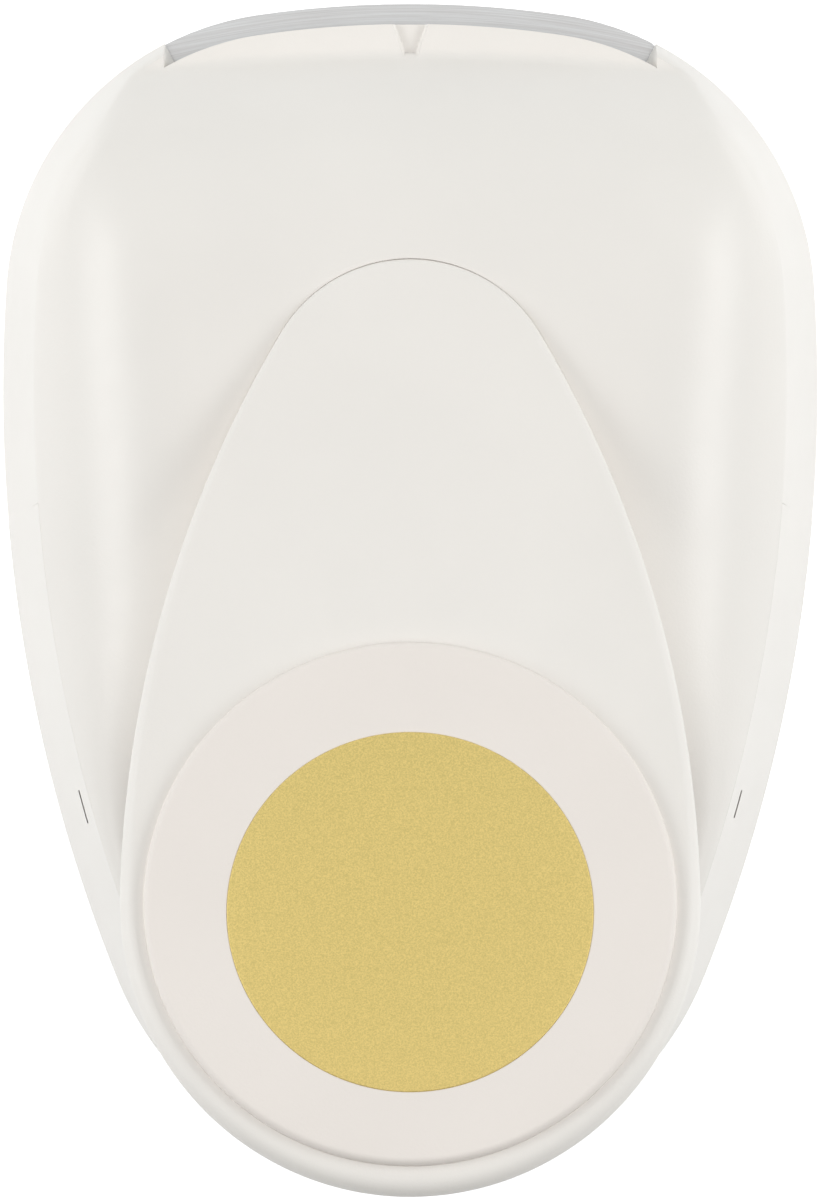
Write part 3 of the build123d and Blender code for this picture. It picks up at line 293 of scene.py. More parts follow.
for row in range(len(rear_z)):
    climb = np.clip((rear_z[row] - TUB_RIM_Z) / (CREASE_Z - TUB_RIM_Z), 0, 1)
    marks = [
        -90.0,
        angle_at(tub_arcs, front_inset[row], x=TUB_STEP_X),
        angle_at(tub_arcs, rear_inset[row], y=SEAM_LOW_Y + (SEAM_HIGH_Y - SEAM_LOW_Y) * climb),
        angle_at(tub_arcs, rear_inset[row], y=WINDOW_FRONT_Y),
        angle_at(tub_arcs, rear_inset[row], y=WINDOW_REAR_Y),
        90.0,
    ]
    angles = spread(tub_arcs, marks, TUB_COLUMNS)
    front_end = angle_at(tub_arcs, front_inset[row], y=SEAM_LOW_Y)
    forward = spread(tub_arcs, [-90.0, marks[1], front_end], TUB_COLUMNS[:2])
    angles[:len(forward)] = forward
    inset = np.array([step_inset[row], front_inset[row], rear_inset[row]])[tub_zone] - SKIN_OUT
    height = np.array([step_z[row], front_z[row], rear_z[row]])[tub_zone]
    tub_rows.append((*on_outline(tub_arcs, angles, inset), height))
tub_x, tub_y, tub_z = (np.array(part) for part in zip(*tub_rows))
window_columns = np.zeros(sum(TUB_COLUMNS), bool)
window_start = sum(TUB_COLUMNS[:3])
window_columns[window_start:window_start + TUB_COLUMNS[3] - 1] = True
window_loop = np.concatenate([window_columns[:-1], window_columns[:0:-1]])
window_rows = np.zeros(len(rear_z) - 1, bool)
window_rows[len(low_z) + BELOW_WINDOW_ROWS - 1] = True
base_wall = grid_piece(
    "base_outer_wall", whole_loop(tub_x, -tub_x), whole_loop(tub_y, tub_y),
    whole_loop(tub_z, tub_z), skip=np.outer(window_rows, window_loop),
)
white_plastic = moulded_plastic(
    "white moulded plastic", PLASTIC_WHITE, sheen_low=0.30, sheen_high=0.36, grain=2600,
    depth=0.000016,
)
base_wall.data.materials.append(white_plastic)
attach(base_wall, "base")


def dress(node, material):
    """Gives a carried-over solid its material."""
    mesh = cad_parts[node].data
    mesh.materials.clear()
    mesh.materials.append(material)


dress("base_shell", white_plastic)

# Die plate. Ground steel, 2.4 mm thick, clamped on the tub: its front edge shows as the grey
# strip before the white lip, and the cutter shears into its round hole. The grinding marks run
# along the strip.
STEEL_GREY = (0.74, 0.775, 0.80, 1.0)
STEEL_DARK = (0.53, 0.555, 0.577, 1.0)
SCRATCH_RANGE = (0.32, 0.68)
SCRATCH_DEPTH = 0.00001


def worked(tree, operation, first, second):
    """Sum, difference, product, power or greater of two values, each a socket or a number."""
    node = tree.nodes.new("ShaderNodeMath")
    node.operation = operation
    for socket, value in zip(node.inputs, (first, second)):
        if isinstance(value, bpy.types.NodeSocket):
            tree.links.new(value, socket)
        else:
            socket.default_value = value
    return node.outputs[0]


def ground_steel(name, light, dark, along, across, gloss_low, gloss_high):
    """Steel with fine scratches that run round the front arc's centre: a cloud that is stretched
    along the angle and squeezed along the radius."""
    material, tree, shader, place = new_material(name)
    split = tree.nodes.new("ShaderNodeSeparateXYZ")
    shift = tree.nodes.new("ShaderNodeVectorMath")
    shift.inputs[1].default_value = (0, -front_centre[1] * MILLIMETRE, 0)
    tree.links.new(place, shift.inputs[0])
    tree.links.new(shift.outputs[0], split.inputs[0])
    radius = tree.nodes.new("ShaderNodeVectorMath")
    radius.operation = "LENGTH"
    tree.links.new(shift.outputs[0], radius.inputs[0])
    stretch = tree.nodes.new("ShaderNodeCombineXYZ")
    for socket, value, scale in (
        ("X", split.outputs["X"], along), ("Y", radius.outputs["Value"], across),
        ("Z", split.outputs["Z"], across),
    ):
        tree.links.new(worked(tree, "MULTIPLY", value, scale), stretch.inputs[socket])
    scratch = noise(tree, stretch.outputs[0], 1.0, detail=4, roughness=0.65)
    tone = ranged(tree, scratch, *SCRATCH_RANGE, 0, 1)
    tree.links.new(mixed_colours(tree, tone, dark, light), shader.inputs["Base Color"])
    gloss = ranged(tree, scratch, *CLOUD_RANGE, gloss_low, gloss_high)
    tree.links.new(gloss, shader.inputs["Roughness"])
    shader.inputs["Metallic"].default_value = 1.0
    bumped(tree, shader, scratch, SCRATCH_DEPTH)
    return material


plate_steel = ground_steel(
    "ground die steel", STEEL_GREY, STEEL_DARK, along=60, across=5200, gloss_low=0.32,
    gloss_high=0.46,
)
dress("die_plate", plate_steel)

# Upper housing. The white moulded cover: flat lip over the paper slot with a centre groove, steep
# front slope, rounded shoulders, a long opening for the lever and a narrow ring round the rear.
# Four screws through the guide block and two snap hooks hold it down.
LIP_BACK_INSET = 2.9
LIP_Z = 17.0
LIP_REAR_Z = 17.8
LIP_START_INSET = -5.0
SLOPE_FOOT_INSET = 6.8
BOW_STATIONS = (6.8, 30.0)
BOW_ROUNDS = (280.0, 110.0)
SLOPE_TOP_INSET = 17.0
SLOPE_TOP_Z = 33.44
CREST_INSET = 32.5
CREST_Z = 37.3
PANEL_TOP_INSET = 50.0
PANEL_TOP_Z = 39.4
PANEL_END_INSET = 74.0
PANEL_END_Z = 37.8
REAR_TOP_INSET = 94.0
REAR_TOP_Z = 28.6
LINE_END_INSET = 130.0
LINE_ROUNDS = (1.5, 27.0, 90.0, 80.0, 55.0, 40.0)
WALL = 2.2
CURVE_STEEP = np.radians(60.0)
LEAST_RISE = 1e-6
CORNER_BLEND = 4.0
CORNER_REAR_INSET = 34.0
CORNER_FADE = 12.0
CORNER_START = 1.0
CORNER_CLIMB = 8.0
FAR = 99.0
SECTOR_SLACK = 0.01
NOTCH_X = 30.15
NOTCH_RUN = 6.0
GROOVE_FRONT_X = 2.15
GROOVE_REAR_X = 0.85
GROOVE_LENGTH = 3.8
GROOVE_DEPTH = 0.8
GROOVE_WALL = 0.3
GROOVE_ZONE = 1.3
INNER_FOOT_INSET = 2.2
INNER_CREASE_INSET = 6.41
INNER_CREASE_Z = 25.9
COVER_ROOF = 2.2
LIP_SOLID = 3.2
HOUSING_SEAM_LOW_Y = 63.7 - HALF_LENGTH
HOUSING_SEAM_HIGH_Y = 61.54 - HALF_LENGTH
OPENING_EDGE = 0.1
SHADOW_GAP = 0.02
OPENING_CENTRE_Y = 13.0
LEVER_FRONT_ROUND = 17.8
LEVER_FLANK_ROUND = 135.0
LEVER_REAR_ROUND = 34.0
PAD_Y = 108.6 - HALF_LENGTH
COVER_COLUMNS = (30, 50, 90, 150)
LIP_ROWS = 8
WALL_ROWS = 14
TOP_ROWS = 62
EDGE_ROWS = 5
UNDER_ROWS = 18
INNER_ROWS = 7
FINE_LOOP = 20001


def inset_at(x, y):
    """Distance in from the tub's outline: for each arc in whose sector a point lies, the radius
    less the distance to the centre; the smallest of these counts."""
    right = np.abs(x)
    best = np.full(np.shape(x), FAR)
    first = -90.0
    for centre_x, centre_y, radius, last in tub_arcs:
        turn = np.degrees(np.arctan2(y - centre_y, right - centre_x))
        depth = radius - np.hypot(right - centre_x, y - centre_y)
        inside = (turn >= first - SECTOR_SLACK) & (turn <= last + SECTOR_SLACK)
        best = np.where(inside, np.minimum(best, depth), best)
        first = last
    return best


def rounded_line(place, corners, radii):
    """Height of a line through corners, each rounded by an arc that touches both its sides. The
    arc's centre lies a radius off both lines, and its ends a radius times the tangent of half
    the turn from the corner."""
    corners = np.array(corners)
    height = np.interp(place, corners[:, 0], corners[:, 1])
    for before, corner, after, radius in zip(corners, corners[1:], corners[2:], radii):
        turn_in = np.arctan2(corner[1] - before[1], corner[0] - before[0])
        turn_out = np.arctan2(after[1] - corner[1], after[0] - corner[0])
        bend = np.sign(turn_out - turn_in)
        tangent = radius * np.tan(abs(turn_out - turn_in) / 2)
        start = corner - tangent * np.array([np.cos(turn_in), np.sin(turn_in)])
        centre = start + bend * radius * np.array([-np.sin(turn_in), np.cos(turn_in)])
        end = corner[0] + tangent * np.cos(turn_out)
        near = np.clip(np.abs(place - centre[0]), 0, radius)
        arc = centre[1] - bend * np.sqrt(radius ** 2 - near ** 2)
        height = np.where((place > start[0]) & (place < end), arc, height)
    return height


def bowed_station(x, y):
    """Distance behind the front along the middle plane; to the sides each station bows back by
    the square of x over twice its radius, which tightens smoothly along the slope."""
    station = y + HALF_LENGTH
    run = np.clip((station - BOW_STATIONS[0]) / (BOW_STATIONS[1] - BOW_STATIONS[0]), 0, 1)
    first, last = (1 / (2 * radius) for radius in BOW_ROUNDS)
    return station - (first + (last - first) * run * run * (3 - 2 * run)) * x ** 2


def top_height(x, y, skin):
    """Lip, slope and top by the bowed station; a skin lowers the line square to itself, which
    also shifts the slope back by the skin times the tangent of half its angle."""
    slope = np.arctan2(SLOPE_TOP_Z - LIP_REAR_Z, SLOPE_TOP_INSET - SLOPE_FOOT_INSET)
    shift = skin * np.tan(slope / 2)
    line = [
        (LIP_START_INSET, LIP_Z - skin), (SLOPE_FOOT_INSET + shift, LIP_REAR_Z - skin),
        (SLOPE_TOP_INSET + shift, SLOPE_TOP_Z - skin), (CREST_INSET, CREST_Z - skin),
        (PANEL_TOP_INSET, PANEL_TOP_Z - skin), (PANEL_END_INSET, PANEL_END_Z - skin),
        (REAR_TOP_INSET, REAR_TOP_Z - skin), (LINE_END_INSET, REAR_TOP_Z - skin),
    ]
    return rounded_line(bowed_station(x, y), line, LINE_ROUNDS)


def housing_height(x, y, skin=0.0):
    """Height over a leaning wall, a rounded shoulder and the top form. The shoulder is an arc
    that leaves the crease steeply and is level where it meets the top, so its radius is the
    rise over one minus the cosine of its steepness. At the front corners wall and slope are
    rounded by taking off a quarter of the blend where they meet."""
    inset = inset_at(x, y)
    foot = CREASE_INSET + skin * np.sin(CURVE_STEEP)
    foot_z = CREASE_Z - skin * np.cos(CURVE_STEEP)
    top = top_height(x, y, skin)
    rise = np.maximum(top - foot_z, LEAST_RISE)
    radius = rise / (1 - np.cos(CURVE_STEEP))
    lean = np.clip(np.sin(CURVE_STEEP) - (inset - foot) / radius, 0, np.sin(CURVE_STEEP))
    shoulder = np.where(top > foot_z, top - radius * (1 - np.sqrt(1 - lean ** 2)), top)
    wall = LEAN_START_Z + (inset - skin) * (foot_z - LEAN_START_Z) / (foot - skin)
    ahead = np.clip((CORNER_REAR_INSET - y - HALF_LENGTH) / CORNER_FADE, 0, 1)
    above = np.clip((top - LIP_REAR_Z - CORNER_START) / CORNER_CLIMB, 0, 1)
    near = np.maximum(CORNER_BLEND - np.abs(wall - shoulder), 0) / CORNER_BLEND
    return np.minimum(wall, shoulder) - near ** 2 * CORNER_BLEND / 4 * ahead * above


def groove_depth(x, y):
    """Depth of the tapering groove in the lip: full between its walls, which lean in."""
    back = TUB_FRONT_ROUND - np.hypot(x, y - front_centre[1])
    along = np.clip((back - LIP_BACK_INSET) / GROOVE_LENGTH, 0, 1)
    half = GROOVE_FRONT_X + (GROOVE_REAR_X - GROOVE_FRONT_X) * along
    side = np.clip((half - np.abs(x)) / GROOVE_WALL, 0, 1)
    end = np.clip((LIP_BACK_INSET + GROOVE_LENGTH - back) / GROOVE_WALL, 0, 1)
    return GROOVE_DEPTH * np.minimum(side, end)


def loop_reach(arcs, inset, angle):
    """Distance from the opening's centre to an outline in given directions, read back from a
    fine table of the outline's points."""
    fine = np.linspace(-90, 270, FINE_LOOP)[:-1]
    place_x, place_y = on_outline(arcs, fine, inset)
    turn = np.arctan2(place_y - OPENING_CENTRE_Y, place_x)
    order = np.argsort(turn)
    reach = np.hypot(place_x, place_y - OPENING_CENTRE_Y)
    return np.interp(angle, turn[order], reach[order], period=2 * np.pi)


lever_front_y = CREST_INSET - HALF_LENGTH
lever_front_centre = (0.0, lever_front_y + LEVER_FRONT_ROUND)
lever_rear_centre = (0.0, PAD_Y)
lever_flank_centre = circle_meeting(
    lever_rear_centre, LEVER_FLANK_ROUND - LEVER_REAR_ROUND,
    lever_front_centre, LEVER_FLANK_ROUND - LEVER_FRONT_ROUND,
)
lever_arcs = outline_arcs([
    (lever_front_centre, LEVER_FRONT_ROUND), (lever_flank_centre, LEVER_FLANK_ROUND),
    (lever_rear_centre, LEVER_REAR_ROUND),
])


def cover_angles(inset, z):
    """Outline angles of the cover's columns at one inset, with marks at the groove's zone, the
    notch's end and the joint with the tub."""
    climb = np.clip((z - LEAN_START_Z) / (CREASE_Z - LEAN_START_Z), 0, 1)
    seam_y = HOUSING_SEAM_LOW_Y + (HOUSING_SEAM_HIGH_Y - HOUSING_SEAM_LOW_Y) * climb
    marks = [
        -90.0, angle_at(tub_arcs, inset, x=GROOVE_FRONT_X * GROOVE_ZONE),
        angle_at(tub_arcs, min(inset, LIP_BACK_INSET), x=NOTCH_X),
        angle_at(tub_arcs, inset, y=seam_y), 90.0,
    ]
    return spread(tub_arcs, marks, COVER_COLUMNS)


cover_zone = np.repeat([0, 0, 1, 2], COVER_COLUMNS)
over_lip = cover_zone == 0
behind = cover_zone == 2
crease_angles = cover_angles(CREASE_INSET, CREASE_Z)
crease_x, crease_y = on_outline(tub_arcs, crease_angles, CREASE_INSET)
ray = np.arctan2(crease_y - OPENING_CENTRE_Y, crease_x)
opening = np.minimum(
    loop_reach(lever_arcs, -SHADOW_GAP, ray), loop_reach(tub_arcs, CREASE_INSET + WALL, ray)
)
outer_reach = np.hypot(crease_x, crease_y - OPENING_CENTRE_Y)


def with_crease(*row):
    """A row of the cover's wall: its own x, y and z up to the joint, and the crease's behind it,
    where the tub is the wall."""
    crease = (crease_x, crease_y, CREASE_Z)
    return [np.where(behind, held, value) for held, value in zip(crease, row)]


wall_insets = np.concatenate([
    np.linspace(0, LIP_BACK_INSET, LIP_ROWS),
    np.linspace(LIP_BACK_INSET, CREASE_INSET, WALL_ROWS)[1:],
])
rows = []
for inset in wall_insets:
    wall_z = LEAN_START_Z + inset * (CREASE_Z - LEAN_START_Z) / CREASE_INSET
    held = np.where(over_lip, max(inset, LIP_BACK_INSET), inset)
    x, y = on_outline(tub_arcs, cover_angles(inset, wall_z), held)
    z = housing_height(x, y) - groove_depth(x, y)
    rise = np.clip(inset / LIP_BACK_INSET, 0, 1)
    z = np.where(over_lip, LEAN_START_Z + (z - LEAN_START_Z) * rise, z)
    rows.append(with_crease(x, y, np.where(inset == 0, LEAN_START_Z, z)))
for share in np.linspace(0, 1, TOP_ROWS)[1:]:
    reach = outer_reach + (opening + OPENING_EDGE - outer_reach) * share
    x, y = reach * np.cos(ray), OPENING_CENTRE_Y + reach * np.sin(ray)
    rows.append((x, y, housing_height(x, y) - groove_depth(x, y)))
edge_z = rows[-1][2]
edge_turn = np.linspace(0, np.pi / 2, EDGE_ROWS)[1:]
for turn in edge_turn:
    reach = opening + OPENING_EDGE * (1 - np.sin(turn))
    x, y = reach * np.cos(ray), OPENING_CENTRE_Y + reach * np.sin(ray)
    rows.append((x, y, edge_z - OPENING_EDGE * (1 - np.cos(turn))))
lip_bite = LIP_SOLID * np.clip((NOTCH_X + NOTCH_RUN - crease_x) / NOTCH_RUN, 0, 1) * ~behind
inner_x, inner_y = on_outline(
    tub_arcs, crease_angles, np.where(behind, CREASE_INSET, INNER_CREASE_INSET + lip_bite)
)
floor_z = np.where(behind, CREASE_Z, LEAN_START_Z)
inner_reach = np.hypot(inner_x, inner_y - OPENING_CENTRE_Y)
inner_ray = np.arctan2(inner_y - OPENING_CENTRE_Y, inner_x)
for share in np.linspace(1, 0, UNDER_ROWS):
    turn = inner_ray + (ray - inner_ray) * share
    reach = inner_reach + (opening - inner_reach) * share
    x, y = reach * np.cos(turn), OPENING_CENTRE_Y + reach * np.sin(turn)
    under_edge = edge_z - COVER_ROOF + (1 - share) * FAR
    z = np.minimum(housing_height(x, y, COVER_ROOF), under_edge)
    rows.append((x, y, np.maximum(z, floor_z)))
for share in np.linspace(1, 0, INNER_ROWS)[1:]:
    inset = INNER_FOOT_INSET + (INNER_CREASE_INSET - INNER_FOOT_INSET) * share + lip_bite
    x, y = on_outline(tub_arcs, cover_angles(INNER_FOOT_INSET, LEAN_START_Z), inset)
    inner_z = LEAN_START_Z + (INNER_CREASE_Z - LEAN_START_Z) * share
    inner_z = np.minimum(inner_z, housing_height(x, y, COVER_ROOF))
    inner_z = np.where(share == 0, LEAN_START_Z, np.maximum(inner_z, LEAN_START_Z))
    rows.append(with_crease(x, y, inner_z))
housing = mirrored_piece("upper_cover", rows)
housing.data.materials.append(white_plastic)
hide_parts("upper_housing")
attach(housing, "base")

# Lever cover. The long white press lever, an injection moulding screwed on the steel arm below
# it: a flat tilted top with a rolled edge, sides that dip into the body and a short rim round the
# rear, which carries the palm pad.
LEVER_TILT = np.radians(14.0)
ROLL_FRONT = 0.6
ROLL_MIDDLE = 1.6
ROLL_REAR = 2.8
LEVER_WALL = 2.2
LEVER_PLATE = 2.5
RIM_DEPTH = 7.5
SKIRT_FRONT_Z = 31.3
SKIRT_REAR_Z = 27.6
SKIRT_STEP_Y = (79.0 - HALF_LENGTH, 90.0 - HALF_LENGTH)
SKIRT_INSET = 10.58
SKIRT_SEARCH_Y = (34.0, 18.0)
SEAT_RADIUS = 31.21
SEAT_DEPTH = 0.8
SEAT_HUB = 3.0
LEVER_COLUMNS = (190, 110)
LEVER_TOP_ROWS = 14
LEVER_ROLL_ROWS = 11
LEVER_SIDE_ROWS = 8


def lever_top(y):
    """Height of the lever's tilted plane: the crest's height plus the run from the lever's front
    times the tangent of the tilt."""
    return CREST_Z + (y - lever_front_y) * np.tan(LEVER_TILT)


def pad_point(radius, turn, height, shift=0.0):
    """Point at a radius, a turn and a height over the tilted plane, round the pad's centre or a
    centre shifted to the rear: the tilt's cosine and sine carry run and height to y and z."""
    along = shift + radius * np.sin(turn)
    x = radius * np.cos(turn)
    y = PAD_Y + along * np.cos(LEVER_TILT) - height * np.sin(LEVER_TILT)
    z = lever_top(PAD_Y) + along * np.sin(LEVER_TILT) + height * np.cos(LEVER_TILT)
    return x, y, z


overhangs = [
    on_outline(tub_arcs, angle_at(tub_arcs, SKIRT_INSET, y=y), SKIRT_INSET)[0]
    - on_outline(lever_arcs, angle_at(lever_arcs, 0, y=y), 0)[0] for y in SKIRT_SEARCH_Y
]
skirt_leaves_y = float(np.interp(0, overhangs, SKIRT_SEARCH_Y))
step_angle = angle_at(lever_arcs, 0, y=skirt_leaves_y)
lever_angles = spread(lever_arcs, [-90.0, step_angle, 90.0], LEVER_COLUMNS)
lever_zone = np.repeat([0, 1], LEVER_COLUMNS)
side_x, side_y = on_outline(lever_arcs, lever_angles, 0)
lever_roll = np.interp(
    side_y, (lever_front_y, PAD_Y, PAD_Y + LEVER_REAR_ROUND), (ROLL_FRONT, ROLL_MIDDLE, ROLL_REAR)
)
rolled_x, rolled_y = on_outline(lever_arcs, lever_angles, lever_roll)
pad_turn = np.arctan2((rolled_y - PAD_Y) / np.cos(LEVER_TILT), rolled_x)
lever_rows = [pad_point(radius, pad_turn, -SEAT_DEPTH) for radius in (SEAT_HUB, SEAT_RADIUS)]
seat_x, seat_y = pad_point(SEAT_RADIUS, pad_turn, 0)[:2]
for share in np.linspace(0, 1, LEVER_TOP_ROWS):
    x, y = seat_x + (rolled_x - seat_x) * share, seat_y + (rolled_y - seat_y) * share
    lever_rows.append((x, y, lever_top(y)))
for turn in np.linspace(0, np.pi / 2, LEVER_ROLL_ROWS)[1:]:
    x, y = on_outline(lever_arcs, lever_angles, lever_roll * (1 - np.sin(turn)))
    lever_rows.append((x, y, lever_top(y) - lever_roll * (1 - np.cos(turn))))
skirt_z = np.interp(side_y, SKIRT_STEP_Y, (SKIRT_FRONT_Z, SKIRT_REAR_Z))
rear_rim_z = lever_top(side_y) - RIM_DEPTH / np.cos(LEVER_TILT)
bottom_z = np.where(lever_zone == 0, skirt_z, rear_rim_z)
top_z = lever_top(side_y) - lever_roll
for share in np.linspace(0, 1, LEVER_SIDE_ROWS)[1:]:
    lever_rows.append((side_x, side_y, top_z + (bottom_z + OPENING_EDGE - top_z) * share))
for turn in edge_turn:
    x, y = on_outline(lever_arcs, lever_angles, OPENING_EDGE * (1 - np.cos(turn)))
    lever_rows.append((x, y, bottom_z + OPENING_EDGE * (1 - np.sin(turn))))
back_x, back_y = on_outline(lever_arcs, lever_angles, LEVER_WALL)
lever_rows.append((back_x, back_y, bottom_z))
roof = lever_top(back_y) - LEVER_PLATE / np.cos(LEVER_TILT)
lever_rows.append((back_x, back_y, np.maximum(roof, bottom_z)))
lever_rows.append(pad_point(SEAT_HUB, pad_turn, -LEVER_PLATE))
lever_cover = mirrored_piece("lever_cover", lever_rows)
lever_plastic = moulded_plastic(
    "white lever plastic", PLASTIC_WHITE, sheen_low=0.42, sheen_high=0.52, grain=3000,
    depth=0.00002,
)
lever_cover.data.materials.append(lever_plastic)
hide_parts("lever_shell")
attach(lever_cover, "lever")

# Lever skirt. The wall under the lever's rear half, moulded in one with the cover: it follows the
# tub's outline further in, so that nothing can get into the body when the lever is up.
SKIRT_COLUMNS = 120
SKIRT_OVERLAP = 0.4
SKIRT_EDGE_SHARE = 0.02
skirt_start = angle_at(tub_arcs, SKIRT_INSET, y=skirt_leaves_y)
skirt_angles = spread(tub_arcs, [skirt_start, 90.0], (SKIRT_COLUMNS,))
skirt_angles = np.concatenate([skirt_angles, 180 - skirt_angles[::-1][1:]])
skirt_rows = []
for inset, share in (
    (SKIRT_INSET + LEVER_WALL, 1), (SKIRT_INSET, 1), (SKIRT_INSET, SKIRT_EDGE_SHARE),
    (SKIRT_INSET + OPENING_EDGE, 0), (SKIRT_INSET + LEVER_WALL, 0),
):
    x, y = on_outline(tub_arcs, skirt_angles, inset)
    foot_z = np.interp(y, SKIRT_STEP_Y, (SKIRT_FRONT_Z, SKIRT_REAR_Z))
    head_z = lever_top(y) - LEVER_PLATE + SKIRT_OVERLAP
    skirt_rows.append((x, y, foot_z + (head_z - foot_z) * share))
skirt_x, skirt_y, skirt_z = (np.array(part) for part in zip(*skirt_rows))
lever_skirt = grid_piece("lever_skirt", skirt_x, skirt_y, skirt_z, ring=False, closed=True)
lever_skirt.data.materials.append(lever_plastic)
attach(lever_skirt, "lever")

# Palm pad. A round cream plastic cap, moulded and pegged into the lever's rear end; the palm
# presses on it. Its edge is rolled and it stands a little proud of the lever.
PAD_RADIUS = 31.2
PAD_RISE = 1.2
PAD_ROLL = 0.9
DISC_RADIUS = 21.4
DISC_RISE = 1.3
DISC_FLOOR = 0.8
DISC_ROLL = 0.12
DISC_SHIFT = 1.3
DISC_GAP = 0.01
RECESS_FLARE = 0.06
RECESS_DROP = 0.05
PAD_RING = 26.0
HUB = 0.001
TURN_STEPS = 360
ROLL_STEPS = 7
PAD_CREAM = (0.858, 0.798, 0.753, 1.0)


def turned_piece(name, profile):
    """Circles over the tilted plane, each with a radius, a height and a rearward shift and evenly
    spaced turns, joined in turn."""
    turn = np.linspace(0, 2 * np.pi, TURN_STEPS, endpoint=False)
    radius, height, shift = np.array(profile).T[:, :, None]
    return grid_piece(name, *np.broadcast_arrays(*pad_point(radius, turn, height, shift)))


def rolled_edge(radius, height, roll, shift, steps):
    """Quarter round from a flat top to an upright side: the radius falls short by the roll times
    one less the sine of the turn, the height by the roll times one less its cosine."""
    return [
        (radius - roll * (1 - np.sin(turn)), height - roll * (1 - np.cos(turn)), shift)
        for turn in np.linspace(0, np.pi / 2, steps)
    ]


pad = turned_piece("palm_pad", [
    (HUB, DISC_FLOOR, DISC_SHIFT), (DISC_RADIUS + DISC_GAP, DISC_FLOOR, DISC_SHIFT),
    (DISC_RADIUS + DISC_GAP, PAD_RISE - RECESS_DROP, DISC_SHIFT),
    (DISC_RADIUS + RECESS_FLARE, PAD_RISE, DISC_SHIFT),
    (PAD_RING, PAD_RISE, 0), *rolled_edge(PAD_RADIUS, PAD_RISE, PAD_ROLL, 0, ROLL_STEPS),
    (PAD_RADIUS, -SEAT_DEPTH, 0), (HUB, -SEAT_DEPTH, 0), (HUB, DISC_FLOOR, DISC_SHIFT),
])
pad_plastic = moulded_plastic(
    "cream pad plastic", PAD_CREAM, sheen_low=0.46, sheen_high=0.56, grain=3200, depth=0.000025
)
pad.data.materials.append(pad_plastic)
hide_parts("pad_cap")
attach(pad, "lever")

# Gold disc. A round of thin metal sheet with a fine matt grain, stamped, its edge slightly
# rolled, and glued into the pad's recess.
GOLD_LIGHT = (0.865, 0.67, 0.242, 1.0)
GOLD_DARK = (0.68, 0.53, 0.175, 1.0)
DISC_RING = 12.0
DISC_ROLL_STEPS = 4
SPECK_RANGE = (0.35, 0.65)
SPECK_DEPTH = 0.00001
disc = turned_piece("gold_disc", [
    (HUB, DISC_RISE, DISC_SHIFT), (DISC_RING, DISC_RISE, DISC_SHIFT),
    *rolled_edge(DISC_RADIUS, DISC_RISE, DISC_ROLL, DISC_SHIFT, DISC_ROLL_STEPS),
    (DISC_RADIUS, DISC_FLOOR, DISC_SHIFT), (HUB, DISC_FLOOR, DISC_SHIFT),
    (HUB, DISC_RISE, DISC_SHIFT),
])
gold, gold_tree, gold_shader, gold_place = new_material("matt gold sheet")
grit = noise(gold_tree, gold_place, 5200, detail=2, roughness=0.7)
speck = ranged(gold_tree, grit, *SPECK_RANGE, 0, 1)
gold_tone = mixed_colours(gold_tree, speck, GOLD_DARK, GOLD_LIGHT)
gold_tree.links.new(gold_tone, gold_shader.inputs["Base Color"])
gold_tree.links.new(ranged(gold_tree, speck, 0, 1, 0.42, 0.58), gold_shader.inputs["Roughness"])
gold_shader.inputs["Metallic"].default_value = 0.35
bumped(gold_tree, gold_shader, speck, SPECK_DEPTH)
disc.data.materials.append(gold)
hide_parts("pad_disc")
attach(disc, "lever")

# Working parts inside. Cutter, posts, pin and arm of steel, guide block and carrier of cast
# metal, springs of drawn wire, screws and rings plated, bushes and shoe of dark bearing plastic.
HARD_LIGHT = (0.56, 0.56, 0.58, 1)
HARD_DARK = (0.40, 0.40, 0.42, 1)
PLATED_LIGHT = (0.60, 0.61, 0.63, 1)
PLATED_DARK = (0.48, 0.49, 0.51, 1)
CAST_LIGHT = (0.44, 0.44, 0.45, 1)
CAST_DARK = (0.30, 0.30, 0.31, 1)
CAST_DEPTH = 0.00003
BEARING_BLACK = (0.045, 0.048, 0.052, 1.0)
hard_steel = ground_steel(
    "hardened steel", HARD_LIGHT, HARD_DARK, along=3000, across=200, gloss_low=0.22,
    gloss_high=0.34,
)
for name in ("cutter", "wear_plate", "guide_post_left", "guide_post_right", "pivot_pin"):
    dress(name, hard_steel)
plated_steel = ground_steel(
    "plated sheet steel", PLATED_LIGHT, PLATED_DARK, along=300, across=900, gloss_low=0.3,
    gloss_high=0.42,
)
for name in (
    "lever_arm", "die_screws", "die_mount_screws", "guide_screws", "housing_screws",
    "carrier_screws", "shoe_screws", "lever_screws", "post_clips", "pivot_clips",
    "return_spring_left", "return_spring_right",
):
    dress(name, plated_steel)
casting, cast_tree, cast_shader, cast_place = new_material("grey zinc casting")
pits = noise(cast_tree, cast_place, 1100, detail=4, roughness=0.6)
cast_tone = ranged(cast_tree, pits, *CLOUD_RANGE, 0, 1)
cast_colour = mixed_colours(cast_tree, cast_tone, CAST_DARK, CAST_LIGHT)
cast_tree.links.new(cast_colour, cast_shader.inputs["Base Color"])
cast_gloss = ranged(cast_tree, pits, *CLOUD_RANGE, 0.5, 0.65)
cast_tree.links.new(cast_gloss, cast_shader.inputs["Roughness"])
cast_shader.inputs["Metallic"].default_value = 0.8
bumped(cast_tree, cast_shader, pits, CAST_DEPTH)
dress("guide_block", casting)
dress("cutter_carrier", casting)
bearing = moulded_plastic(
    "dark bearing plastic", BEARING_BLACK, sheen_low=0.4, sheen_high=0.5, grain=2400, depth=0.00001
)
dress("press_shoe", bearing)
dress("pivot_bushes", bearing)

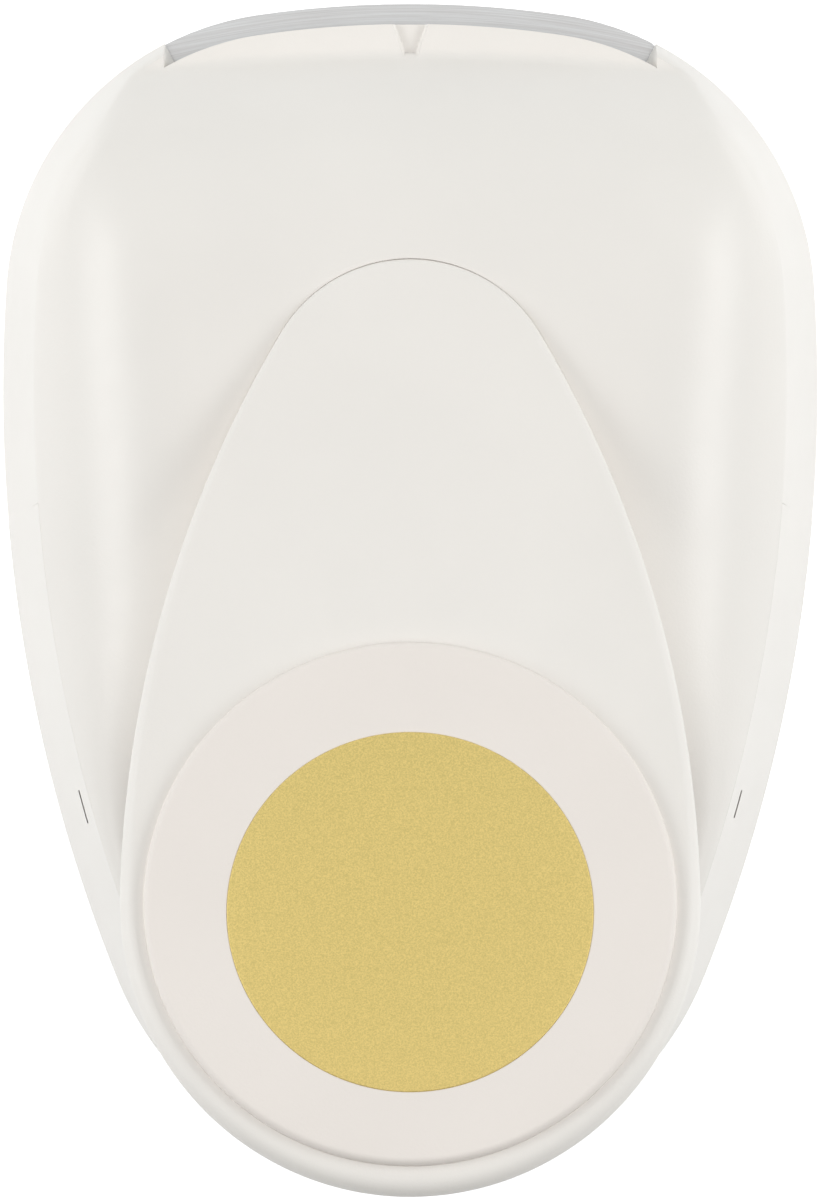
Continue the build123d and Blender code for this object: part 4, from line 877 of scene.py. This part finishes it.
# Table and light. A plain white table in a pale room that glows softly from both sides, from the
# front and, warmer, from above, a soft panel on each side, and a camera with a long lens that
# looks straight down.
FLOOR_HALF = 3.0
TABLE_GREY = (0.62, 0.62, 0.62, 1)
TABLE_GLOW = 0.75
SIDE_GLOW = 0.98
TOP_GLOW = 1.47
TOP_FOCUS = 10.0
FRONT_GLOW = 0.66
ROOM_WARM = (1.0, 0.90, 0.84, 1.0)
ROOM_COOL = (0.935, 0.995, 1.0, 1.0)
PANEL_ENERGY = 4.2
PANEL_PLACE = (0.82, -0.15, 0.52)
PANEL_SIZE = (0.36, 1.0)
CAMERA_PLACE = (-0.00027, 0.0013, 0.9)
CAMERA_LENS = 216.6
floor_mesh = bpy.data.meshes.new("table")
corners = [(x * FLOOR_HALF, y * FLOOR_HALF, 0) for x, y in ((-1, -1), (1, -1), (1, 1), (-1, 1))]
floor_mesh.from_pydata(corners, [], [(0, 1, 2, 3)])
floor = bpy.data.objects.new("table", floor_mesh)
scene.collection.objects.link(floor)
white, white_tree, white_shader = new_material("white table")[:3]
white_shader.inputs["Base Color"].default_value = TABLE_GREY
white_shader.inputs["Roughness"].default_value = 0.9
white_shader.inputs["Specular IOR Level"].default_value = 0.0
path = white_tree.nodes.new("ShaderNodeLightPath")
glow = white_tree.nodes.new("ShaderNodeEmission")
seen = worked(white_tree, "MAXIMUM", path.outputs["Is Camera Ray"], path.outputs["Is Glossy Ray"])
white_tree.links.new(worked(white_tree, "MULTIPLY", seen, TABLE_GLOW), glow.inputs["Strength"])
both = white_tree.nodes.new("ShaderNodeAddShader")
white_tree.links.new(white_shader.outputs[0], both.inputs[0])
white_tree.links.new(glow.outputs[0], both.inputs[1])
white_tree.links.new(both.outputs[0], white_tree.nodes["Material Output"].inputs["Surface"])
floor.data.materials.append(white)

world = bpy.data.worlds.new("pale room")
scene.world = world
world.use_nodes = True
room = world.node_tree
backdrop = room.nodes["Background"]
way = room.nodes.new("ShaderNodeSeparateXYZ")
room.links.new(room.nodes.new("ShaderNodeTexCoord").outputs["Generated"], way.inputs[0])
ahead = worked(room, "MAXIMUM", worked(room, "MULTIPLY", way.outputs["Y"], -1.0), 0.0)
side_part = worked(room, "MULTIPLY", way.outputs["X"], way.outputs["X"])
top_part = worked(room, "POWER", worked(room, "MAXIMUM", way.outputs["Z"], 0.0), TOP_FOCUS)
front_part = worked(room, "MULTIPLY", ahead, ahead)
level = worked(room, "MULTIPLY", side_part, SIDE_GLOW)
level = worked(room, "ADD", level, worked(room, "MULTIPLY", top_part, TOP_GLOW))
level = worked(room, "ADD", level, worked(room, "MULTIPLY", front_part, FRONT_GLOW))
room.links.new(mixed_colours(room, top_part, ROOM_COOL, ROOM_WARM), backdrop.inputs["Color"])
seen_ray = room.nodes.new("ShaderNodeLightPath").outputs["Is Camera Ray"]
level = worked(room, "MULTIPLY", level, worked(room, "SUBTRACT", 1.0, seen_ray))
room.links.new(worked(room, "ADD", level, seen_ray), backdrop.inputs["Strength"])

for side in (-1, 1):
    panel = bpy.data.lights.new("side panel", "AREA")
    panel.energy = PANEL_ENERGY
    panel.shape = "RECTANGLE"
    panel.size, panel.size_y = PANEL_SIZE
    lamp = bpy.data.objects.new("side panel", panel)
    lamp.location = (side * PANEL_PLACE[0], PANEL_PLACE[1], PANEL_PLACE[2])
    lamp.rotation_euler = (0, side * np.arctan2(PANEL_PLACE[0], PANEL_PLACE[2]), 0)
    scene.collection.objects.link(lamp)

camera = bpy.data.objects.new("camera", bpy.data.cameras.new("camera"))
camera.location = CAMERA_PLACE
camera.rotation_euler = (0, 0, np.pi)
camera.data.lens = CAMERA_LENS
scene.collection.objects.link(camera)
scene.camera = camera
